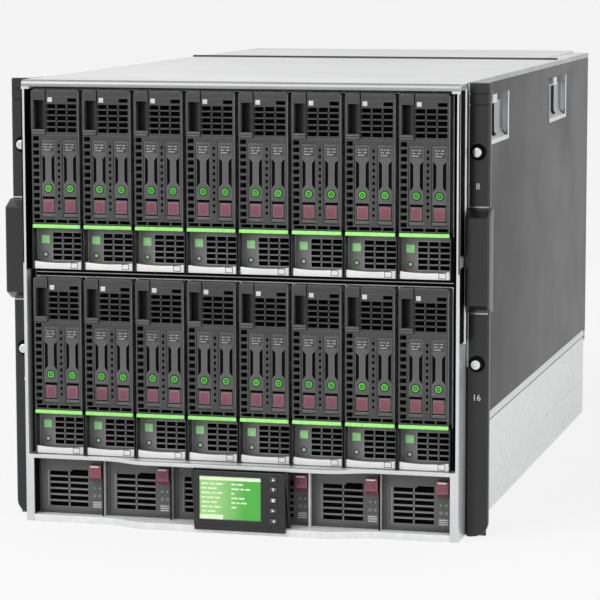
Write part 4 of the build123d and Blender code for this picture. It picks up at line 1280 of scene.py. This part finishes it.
@dataclass
class RackEar(Assembly):
    """Right ear with its moulded cover, in millimetres from the middle of the front plane."""

    inner: float = 223.0
    outer: float = 244.3
    front: float = 33.0
    back: float = 40.0
    grip: Span = (222.0, 323.0)
    flare: float = 8.0
    grip_out: float = 2.5
    grip_forward: float = 16.0
    foot_round: float = 14.0
    foot_steps: int = 6
    corner: float = 3.0
    seams: tuple[float, float] = (22.0, 11.0)
    seam_depth: float = 0.7
    plate_edge: float = 241.3
    plate: float = 2.5
    flange: float = 28.0
    screws: tuple[float, float] = (377.6, 171.2)
    screw_x: float = 232.55
    head: float = 8.0
    head_radius: float = 4.7
    flutes: int = 20
    shank: tuple[float, float] = (3.0, 16.0)
    recess: float = 8.2
    strip: Span = (-0.7, 1.5)
    strip_foot: float = 168.0
    numeral_drop: float = 36.0
    numeral_size: float = 8.5

    def section(self, part: BMesh, z: float, out: float, forward: float) -> list[BMVert]:
        """One level of the cover, with rounded front corners.

        Args:
            part: Mesh that takes the ring.
            z: The level.
            out: How far the cover reaches past its outer side.
            forward: How far it reaches past its front.

        Returns:
            The ring's corners.
        """
        x0, x1, y0, r = self.inner, self.outer + out, self.front - forward, self.corner
        small = r * 0.6
        ring = [(x0, self.back), *round_corner(x0 + small, y0 + small, small, 2.0),
                *round_corner(x1 - r, y0 + r, r, 3.0), (x1, self.back)]
        return [part.verts.new((x, y, z)) for x, y in ring]

    def levels(self) -> list[tuple[float, float, float]]:
        """Heights of the cover's levels, with how far each reaches outward and forward.

        Returns:
            The levels from the rounded foot past the grip and the two seams to the top.
        """
        (low, high), out, seam_depth = self.grip, self.grip_out, self.seam_depth
        turns = [QUARTER * i / self.foot_steps for i in range(self.foot_steps + 1)]
        levels = [(self.foot_round * (1.0 - math.cos(t)), -self.foot_round * (1.0 - math.sin(t)), 0.0)
                  for t in turns]
        levels += [(low, 0.0, 0.0), (low + 0.4, out, 2.0), (low + self.flare, out, self.grip_forward),
                   (high - self.flare, out, self.grip_forward), (high - 0.4, out, 2.0), (high, 0.0, 0.0)]
        for drop in self.seams:
            seam = HEIGHT - drop
            levels += [(seam, 0.0, 0.0), (seam + 0.4, 0.0, -seam_depth), (seam + 1.2, 0.0, -seam_depth),
                       (seam + 1.6, 0.0, 0.0)]
        return [*levels, (HEIGHT - 0.8, 0.0, 0.0), (HEIGHT, -0.8, -0.8)]

    def cover(self, side: float, numbers: tuple[str, str]) -> None:
        """The ear on one side.

        Args:
            side: One for the right ear, minus one for the left.
            numbers: Bay numbers beside the upper and the lower row.
        """
        form, (low, high), front, back = self.form, self.grip, self.front, self.back
        part = bmesh.new()
        skin(part, [self.section(part, *level) for level in self.levels()])
        form.add(part, SATIN_BLACK_AND_SHADE_ABS)
        wall, plate, flange = self.inner - 1.5, self.plate, back + self.flange
        profile = [(wall, back), (self.plate_edge, back), (self.plate_edge, back + plate),
                   (wall + plate, back + plate), (wall + plate, flange), (wall, flange)]
        form.prism(profile, Axis.Z, (0.0, HEIGHT), SATIN_BLACK_AND_SHADE_ABS, 0.3)
        for z in ((self.strip_foot, low), (high, HEIGHT - 0.6)):
            form.block(shift(self.strip, self.inner), (front + 0.2, back), z, PRESSED_STEEL, 0.5)
        for z in (high + 0.4, low - 2.0):
            form.block((self.inner + 1.6, self.outer - 1.0), (front - 0.6, front + 0.4), (z, z + 1.6),
                       PRESSED_STEEL, 0.3)
        # A black ring and disc round each screw: painted shade in its recess.
        for z in self.screws:
            form.ring((self.screw_x, z), (self.head_radius, self.recess), (front - 0.5, front + 0.4),
                      BLACK_AND_SHADE_ABS)
            form.rod((self.screw_x, z), Axis.Y, self.head_radius, about(front, 0.3), BLACK_AND_SHADE_ABS)
        if side < 0.0:
            bmesh.ops.scale(form.shapes, vec=(-1.0, 1.0, 1.0), verts=form.shapes.verts)
            bmesh.ops.reverse_faces(form.shapes, faces=form.shapes.faces)
        for z, number in zip(self.screws, numbers):
            form.take(self.numeral(number, (side * self.screw_x, front, z - self.numeral_drop)), WHITE_INK_AND_HIGHLIGHT)

    def numeral(self, text: str, place: tuple[float, float, float]) -> Mesh:
        """A printed number that faces forward.

        Args:
            text: The number.
            place: Middle of its foot.

        Returns:
            The number's mesh in millimetres.
        """
        curve = bpy.data.curves.new("numeral", "FONT")
        for setting, value in {"body": text, "size": self.numeral_size, "extrude": 0.12, "resolution_u": 3,
                               "align_x": "CENTER"}.items():
            setattr(curve, setting, value)
        made = plain_mesh(show("numeral", curve))
        made.transform(Matrix.Translation(place) @ Matrix.Rotation(QUARTER, 4, "X"))
        return made

    def screw(self, x: float, z: float) -> None:
        """A captive screw with a fluted, domed head.

        Args:
            x: Its middle across.
            z: Its level.
        """
        form, tip, radius = self.form, self.front - self.head, self.head_radius
        rounds = [circle((x, z), r, 2 * self.flutes) for r in (radius - 0.35, radius)]
        outline = [rounds[i % 2][i] for i in range(2 * self.flutes)]
        form.prism(outline, Axis.Y, (tip + 1.0, self.front - 0.5), SCREW_STEEL, 0.3)
        form.rod((x, z), Axis.Y, radius - 0.9, (tip, tip + 1.6), SCREW_STEEL, 0.9)
        shank, length = self.shank
        form.rod((x, z), Axis.Y, shank, (self.front - 1.0, self.back + self.plate + length),
                 SCREW_STEEL, 0.3)

    def build(self) -> None:
        """Build both ears and their screws."""
        for side, word, numbers in ((-1.0, "left", ("1", "9")), (1.0, "right", ("8", "16"))):
            ear = self.piece(self.cover, side, numbers)
            place_piece(f"rack_ear_{word}", ear, FRONT, "chassis", ["rack_ears"])
            for z, level in zip(self.screws, ("upper", "lower")):
                screw = self.piece(self.screw, side * self.screw_x, z)
                place_piece(f"rack_screw_{word}_{level}", screw, FRONT, "chassis",
                            ["rack_screws"])


@dataclass
class Chassis(Assembly):
    """The enclosure's fixed solids, shown by copies with rounded edges, and what is fixed to them."""

    studs: Studs
    half: float = 221.5
    opening: float = 213.2
    flange: float = 3.1
    rebate: float = 14.0
    pocket: float = 2.0
    pockets: tuple[Span, Span] = ((192.4, 265.8), (278.2, 437.2))
    pocket_depth: Span = (3.2, 32.8)
    shade_sheet: float = 0.3
    bay_shade_sheet: Opening = ((2.0, 120.0), (7.3, 64.4))
    panel: float = 220.5
    length: float = 810.3
    supply_bay: Span = (7.2, 64.4)
    partitions: tuple[float, ...] = (142.13, -142.13, -71.07)
    partition_front: Span = (5.6, 6.0)
    lower_row: float = 68.5
    mid_shelf: Span = (248.2, 255.0)
    shelf_front: float = 20.0
    head: float = 9.2
    wall_front: float = 70.0
    hem_foot: float = 96.0
    rib: Opening = ((520.0, 770.0), (38.5, 41.5))
    roof_half: float = 219.0
    roof_step: float = 586.0
    nose: float = 5.0
    rail_foot: float = 6.5
    rail_skin_mm: float = 0.12
    lift_starts: tuple[float, float] = (145.0, 521.0)
    lift_size: tuple[float, float] = (117.0, 47.0)
    lift_drop: float = 67.0
    rivet_rows: tuple[float, float] = (14.0, 84.0)
    rivet_run: tuple[float, float] = (425.0, 660.0)
    rivets: int = 12
    rivet_radius: float = 2.2
    rivet_rise: float = 0.6
    shells: tuple[tuple[str, Finish, str, str, float], ...] = (
        ("base_tray", ZINC_STEEL, "chassis", "bare_steel", 0.4),
        ("front_frame", CAGE_STEEL, "chassis", "bare_steel", 0.5),
        ("side_panels", PANEL_PAINT, "chassis", "painted_side", 0.4),
        ("lift_hook_plates", PRESSED_STEEL, "chassis", "bare_steel", 0.3),
        ("roof_panel", ROOF_STEEL, "chassis", "bare_steel", 0.4),
        ("midplane", BOARD_LAMINATE, "chassis", "board", 0.2),
        ("rear_modules", DARK_PAINT_AND_SHADE, "chassis", "rear_module", 0.6),
        ("display_carriage", SATIN_BLACK_AND_SHADE_ABS, "carriage", "display_black", 0.3),
    )

    def build(self) -> None:
        """Show each fixed solid with rounded edges, then add the trims."""
        for node, finish, body, slot, bevel in self.shells:
            shell = self.piece(self.shell, node, finish, bevel)
            place_piece(f"{node}_shell", shell, Vector(), body, [node])
        self.fix("painted_shade_sheets", self.shade_sheets, "ear_black")
        self.fix("side_hems", self.side_trims, "bare_steel")
        self.fix("roof_step_painted_shade", self.roof_step_painted_shade, "painted_side")
        self.fix("front_rail_painted_shade", self.rail_skin, "bare_steel")
        self.fix("lift_pocket_rims", self.lift_rims, "bare_steel")
        self.fix("wall_rivets", self.wall_rivets, "bare_steel")

    def shell(self, node: str, finish: Finish, bevel: float) -> None:
        """One fixed solid with its edges rounded."""
        self.form.solids(node, finish, bevel)

    def shade_sheets(self) -> None:
        """Black sheets of painted shade in the posts' pockets and rebates, on the posts' fronts, beside the
        supplies and on the middle shelf, which also gets a thin steel line.
        """
        form, floor, edge = self.form, self.half - self.pocket, self.half - self.flange
        (low, high), shelf, top = self.mid_shelf, self.shelf_front, HEIGHT - self.head
        shade_sheet, rebate = self.shade_sheet, self.rebate
        for z in self.pockets:
            form.pair((floor, floor + shade_sheet), self.pocket_depth, z, BLACK_AND_SHADE_ABS)
        form.pair((self.opening, edge), (rebate - shade_sheet, rebate), (self.lower_row, top), BLACK_AND_SHADE_ABS)
        form.pair((edge - shade_sheet, edge), (1.0, rebate - shade_sheet), (high, top), BLACK_AND_SHADE_ABS)
        form.pair((self.opening - shade_sheet, self.opening), *self.bay_shade_sheet, BLACK_AND_SHADE_ABS)
        for x in self.partitions:
            form.block(about(x, 0.8), self.partition_front, self.supply_bay, BLACK_AND_SHADE_ABS)
        across = about(0.0, self.opening)
        form.block(across, (shelf - 4.0, shelf), self.mid_shelf, BLACK_AND_SHADE_ABS)
        form.block(across, (shelf - 4.6, shelf - 4.0), about((low + high) / 2.0, 0.4), PRESSED_STEEL)
        form.pair((self.half - 1.2, self.half), (-0.12, 0.0), (high + 7.0, top), BLACK_AND_SHADE_ABS)

    def side_trims(self) -> None:
        """Folded hem over the bare wall, a dark strip of painted shadow under it, an embossed rib and the
        roof's turned edge.
        """
        form, half, panel, foot = self.form, self.half, self.panel, self.hem_foot
        run = (self.wall_front, self.length - 20.0)
        hem = [(half, foot), (half + 0.5, foot + 0.6), (half + 0.5, foot + 3.4), (panel + 0.1, foot + 6.6),
               (panel + 0.1, foot)]
        for outline in (hem, [(-x, z) for x, z in reversed(hem)]):
            form.prism(outline, Axis.Y, run, CAGE_STEEL, 0.2)
        # A dark strip just under the hem: painted shadow.
        form.pair((half, half + 0.15), run, (foot - 2.0, foot - 0.8), DARK_PAINT_AND_SHADE)
        form.pair((half, half + 0.5), *self.rib, ZINC_STEEL, 0.4)
        form.pair((panel, panel + 0.4), (self.wall_front, self.length - 1.0), (HEIGHT - 5.4, HEIGHT - 0.1),
                  PRESSED_STEEL, 0.15)

    def roof_step_painted_shade(self) -> None:
        """Painted shade at the step in front of the roof's raised part: a grey strip on the roof and a dark
        riser.
        """
        across, step = about(0.0, self.roof_half), self.roof_step
        self.form.block(across, (step - 4.0, step - 0.6), (HEIGHT, HEIGHT + 0.3), PRESSED_STEEL)
        self.form.block(across, (step - 0.6, step), (HEIGHT, HEIGHT + 2.3), DARK_PAINT_AND_SHADE)

    def rail_skin(self) -> None:
        """Polished skin over the front rail's rounded nose, in a darker steel than the cage, which paints
        shade on the nose.
        """
        nose, thick, foot = self.nose, self.rail_skin_mm, HEIGHT - self.rail_foot
        outer, inner = ([(nose - x, HEIGHT - nose + z) for x, z in round_corner(0.0, 0.0, radius, 0.0, 8)]
                        for radius in (nose + thick, nose))
        self.form.prism([(-thick, foot), *outer, *reversed(inner), (0.0, foot)], Axis.X,
                        about(0.0, self.half - 0.3), RAIL_STEEL_PAINTED_SHADE)

    def lift_rims(self) -> None:
        """Bright drawn rim, lip and end wall of each lift pocket, and a black sheet behind its slot as
        painted shade.
        """
        form, panel, foot = self.form, self.panel, HEIGHT - self.lift_drop
        top, out = foot + self.lift_size[1], (panel, panel + 0.5)
        inset, behind = (panel - 5.5, panel), (self.opening + 0.1, self.opening + 0.4)
        for start in self.lift_starts:
            end = start + self.lift_size[0]
            for x, y, z, finish, bevel in (
                    (out, (end - 5.0, end + 1.5), (foot - 1.5, top + 1.5), CAGE_STEEL, 0.2),
                    (out, (start - 1.5, start + 2.0), (foot - 1.5, top - 6.0), PRESSED_STEEL, 0.2),
                    (out, (start + 2.0, end - 5.0), (foot - 1.5, foot + 3.0), CAGE_STEEL, 0.2),
                    (out, (start + 26.0, start + 50.0), (top - 7.0, top + 1.5), CAGE_STEEL, 0.2),
                    # A black sheet behind the slot: painted shade.
                    (behind, about((start + end) / 2.0, 20.0), (foot, top), BLACK_AND_SHADE_ABS, 0.0),
                    (out, (start + 2.0, start + 26.0), (top - 5.0, top + 1.5), PANEL_PAINT, 0.2),
                    (out, (start + 50.0, end - 5.0), (top - 5.0, top + 1.5), PANEL_PAINT, 0.2),
                    (inset, (end - 1.6, end - 1.0), (foot + 8.0, top - 6.0), CAGE_STEEL, 0.0)):
                form.pair(x, y, z, finish, bevel)

    def wall_rivets(self) -> None:
        """Rivets along the bare lower walls."""
        middle, run = self.rivet_run
        for side in (-1.0, 1.0):
            for z in self.rivet_rows:
                self.studs.put(self.form, ZINC_STEEL, Columns=1, Rows=self.rivets, Width=0.0, Height=run,
                               Radius=self.rivet_radius, Rise=self.rivet_rise, Sides=12,
                               Turn=(0.0, side * QUARTER, 0.0), Middle=(side * (self.half + 0.1), middle, z))


@dataclass
class RearModules(Assembly):
    """What shows on the rear faces of the plug-in modules."""

    slats: Slats
    studs: Studs
    rotor: Rotor
    opening: float
    face: float = 790.3
    fan_height: float = 97.0
    fan_blades: int = 9
    fan_radii: Span = (13.0, 31.0)
    fan_chord: float = 13.0
    fan_pitch: float = 0.65
    fan_inset: float = 20.0
    fan_tab: Opening = ((-9.0, 9.0), (-45.0, -40.0))
    release: float = 4.0
    guard_rings: tuple[float, ...] = (8.0, 16.0, 24.0, 32.0)
    guard_reach: float = 34.0
    gap: float = 0.6
    sheet: float = 1.5
    shelf: float = 68.2
    manager: float = 32.0
    rows: int = 4
    manager_port: float = 109.5
    module_port: float = 180.6
    port_bars: Span = (3.0, 2.0)
    port_depth: float = 8.4
    lamp_share: float = 0.84
    lamp_radius: float = 0.9
    lever: Span = (3.0, 12.0)
    pins: Outline = ((-7.0, -2.0), (0.0, 4.0), (7.0, -2.0))
    inlet: tuple[float, float] = (16.0, 13.0)
    inlet_rim: float = 2.5

    def build(self) -> None:
        """Add the rear's pieces."""
        self.fix("fan_rotors_and_guards", self.fans, "rear_module")
        self.fix("rear_ports", self.ports, "rear_module")
        self.fix("power_inlets", self.inlets, "rear_module")

    def across(self, count: int) -> list[float]:
        """Middles of modules that share the width."""
        pitch = 2.0 * self.opening / count
        return [(i + 0.5) * pitch - self.opening for i in range(count)]

    def fans(self) -> None:
        """Rotor, guard and release tab of each fan."""
        form, face, half = self.form, self.face, self.fan_height / 2.0
        (hub, tip), (tab_x, tab_z) = self.fan_radii, self.fan_tab
        rows = (self.shelf + self.gap + half, HEIGHT - self.sheet - self.gap - half)
        for x, z in ((x, z) for z in rows for x in self.across(5)):
            self.rotor.put(form, NYLON, Blades=self.fan_blades, Hub=hub, Tip=tip, Chord=self.fan_chord,
                           Pitch=self.fan_pitch, Middle=(x, face - self.fan_inset, z))
            for radius in self.guard_rings:
                form.ring((x, z), about(radius, 0.6), (face - 2.2, face - 0.8), ZINC_STEEL)
            for wide, high in ((self.guard_reach, 0.8), (0.8, self.guard_reach)):
                form.block(about(x, wide), (face - 2.0, face - 1.0), about(z, high), ZINC_STEEL)
            form.block(shift(tab_x, x), (face, face + self.release), shift(tab_z, z), TOUCH_ABS, 0.8)

    def ports(self) -> None:
        """Port cages, lamps and release levers of the interconnect and management modules."""
        foot = self.shelf + self.gap + self.fan_height + self.gap
        for x in self.across(3):
            self.port_field(x, foot + self.manager / 2.0, self.manager_port, self.manager / 2.0, (5, 1))
        start = foot + self.manager + self.gap
        pitch = (HEIGHT - self.sheet - self.gap - self.fan_height - start) / self.rows
        height = (pitch - self.gap) / 2.0
        for row in range(self.rows):
            for x in self.across(2):
                self.port_field(x, start + row * pitch + height, self.module_port, height, (8, 2))

    def port_field(self, x: float, z: float, width: float, height: float, slots: tuple[int, int]) -> None:
        """One recess divided into ports, with lamps above and a release lever at its right.

        Args:
            x: Middle across.
            z: Middle upwards.
            width: The recess's width.
            height: The recess's height.
            slots: Ports across, and one above the other.
        """
        form, face, sides, rise = self.form, self.face, about(x, width / 2.0), about(z, height / 2.0)
        floor = face - self.port_depth
        self.slats.fill(form, ZINC_STEEL, (sides, rise), slots, self.port_bars, (floor, face - 0.4))
        # A black floor at the back of the recess: painted shade.
        form.block(sides, (floor - 0.6, floor), rise, BLACK_AND_SHADE_ABS)
        self.studs.put(form, RING_LENS, Columns=slots[0], Rows=1, Width=width * self.lamp_share, Height=0.0,
                       Radius=self.lamp_radius, Rise=0.6, Sides=10, Turn=(-QUARTER, 0.0, 0.0),
                       Middle=(x, face + 0.2, rise[1] + 3.0))
        form.block(shift(self.lever, sides[1]), (face, face + self.release), rise, TOUCH_ABS, 0.8)

    def inlets(self) -> None:
        """Contacts in each power inlet and its raised rim."""
        form, face, rim, (wide, high) = self.form, self.face, self.inlet_rim, self.inlet
        middle = self.shelf / 2.0
        for x in self.across(6):
            for dx, dz in self.pins:
                form.block(about(x + dx, 1.0), (face - 16.0, face - 3.0), about(middle + dz, 2.0),
                           CONTACT_BRASS, 0.3)
            left, right = about(x, wide)
            foot, head = about(middle, high)
            between = (left + rim, right - rim)
            for u, v in (((left, left + rim), (foot, head)), ((right - rim, right), (foot, head)),
                         (between, (foot, foot + rim)), (between, (head - rim, head))):
                form.block(u, (face, face + 2.0), v, NYLON, 0.5)


@dataclass
class Studio:
    """Floor, soft light and the camera at the photograph's angle."""

    camera_mm: tuple[float, float, float] = (734.96, -2592.32, 574.70)
    yaw: float = 0.253206
    pitch: float = 0.126934
    roll: float = 0.001499
    focal_px: float = 2773.565
    picture_px: float = 600.0
    sensor_mm: float = 36.0
    view_m: float = 100.0
    floor_m: float = 60.0
    floor_share: float = 0.85
    paper: str = "#f2f2f2"
    backdrop: str = "#f8f8f8"
    sky_rise: Span = (-0.05, 0.9)
    sky: Span = (0.3, 0.92)
    lamps: tuple[tuple[str, Sequence[float], Sequence[float], float, float], ...] = (
        ("key", (-1.4, -2.4, 3.0), (0.0, -0.2, 0.2), 80.0, 2.6),
        ("fill", (2.8, -1.8, 1.0), (0.1, 0.0, 0.1), 22.0, 1.6))

    def camera(self) -> None:
        """Stand the camera where the photograph was taken."""
        data = bpy.data.cameras.new("camera")
        data.sensor_width = self.sensor_mm
        data.lens = self.sensor_mm * self.focal_px / self.picture_px
        data.clip_end = self.view_m
        stand = show("camera", data)
        stand.location = Vector(self.camera_mm) * MM + FRONT
        stand.rotation_euler = (QUARTER - self.pitch, self.roll, self.yaw)
        bpy.context.scene.camera = stand

    def seen(self, tree: Tree) -> Socket:
        """Pick out the rays that see the plain backdrop: the camera's, a reflection's and glass's.

        Args:
            tree: The floor's or the world's tree.

        Returns:
            One for those rays and nought for others.
        """
        path = add_node(tree, "ShaderNodeLightPath").node.outputs
        both = calc(tree, "MAXIMUM", path["Is Camera Ray"], path["Is Glossy Ray"])
        return calc(tree, "MAXIMUM", both, path["Is Transmission Ray"])

    def floor(self) -> None:
        """Lay a plain pale floor that runs past the picture's edges."""
        reach = self.floor_m
        mesh = bpy.data.meshes.new("floor")
        corners = [(-reach, -reach, 0.0), (reach, -reach, 0.0), (reach, reach, 0.0), (-reach, reach, 0.0)]
        mesh.from_pydata(corners, [], [(0, 1, 2, 3)])
        made = bpy.data.materials.new("studio_paper_floor")
        tree = empty_tree(made)
        paper = add_node(tree, "ShaderNodeBsdfDiffuse", {"Color": linear(self.paper)})
        white = add_node(tree, "ShaderNodeEmission", {"Color": linear(self.backdrop), "Strength": 1.0})
        share = calc(tree, "MULTIPLY", self.seen(tree), self.floor_share)
        mixed = add_node(tree, "ShaderNodeMixShader", {0: share, 1: paper, 2: white})
        add_node(tree, "ShaderNodeOutputMaterial", {"Surface": mixed})
        mesh.materials.append(made)
        floor = show("floor", mesh)

    def light(self) -> None:
        """Hang the lamps in a world that is brighter overhead, with a near-white backdrop."""
        world = bpy.data.worlds.new("studio")
        bpy.context.scene.world = world
        tree = empty_tree(world)
        direction = add_node(tree, "ShaderNodeTexCoord", out="Generated")
        rise = add_node(tree, "ShaderNodeSeparateXYZ", {"Vector": direction}, "Z")
        soft = add_node(tree, "ShaderNodeBackground",
                        {"Color": linear("#ffffff"), "Strength": ramp(tree, rise, self.sky_rise, self.sky)})
        white = add_node(tree, "ShaderNodeBackground", {"Color": linear(self.backdrop), "Strength": 1.0})
        mixed = add_node(tree, "ShaderNodeMixShader", {0: self.seen(tree), 1: soft, 2: white})
        add_node(tree, "ShaderNodeOutputWorld", {"Surface": mixed})
        for name, place, aim, power, size in self.lamps:
            data = bpy.data.lights.new(name, "AREA")
            data.energy = power
            data.size = size
            lamp = show(name, data)
            lamp.location = place
            lamp.rotation_euler = (Vector(aim) - Vector(place)).to_track_quat("-Z", "Y").to_euler()
        bpy.context.scene.view_settings.view_transform = "Standard"


def main() -> None:
    """Build every sub-assembly, dress it and light it."""
    logging.basicConfig(level=logging.INFO, format="%(name)s: %(message)s")
    slats, studs = Slats(), Studs()
    chassis = Chassis(studs)
    chassis.build()
    RearModules(slats, studs, Rotor(), chassis.opening).build()
    Blade.build(slats)
    PowerSupply.build(slats)
    Display().build()
    RackEar().build()
    studio = Studio()
    studio.floor()
    studio.light()
    studio.camera()


if __name__ == "__main__":
    main()
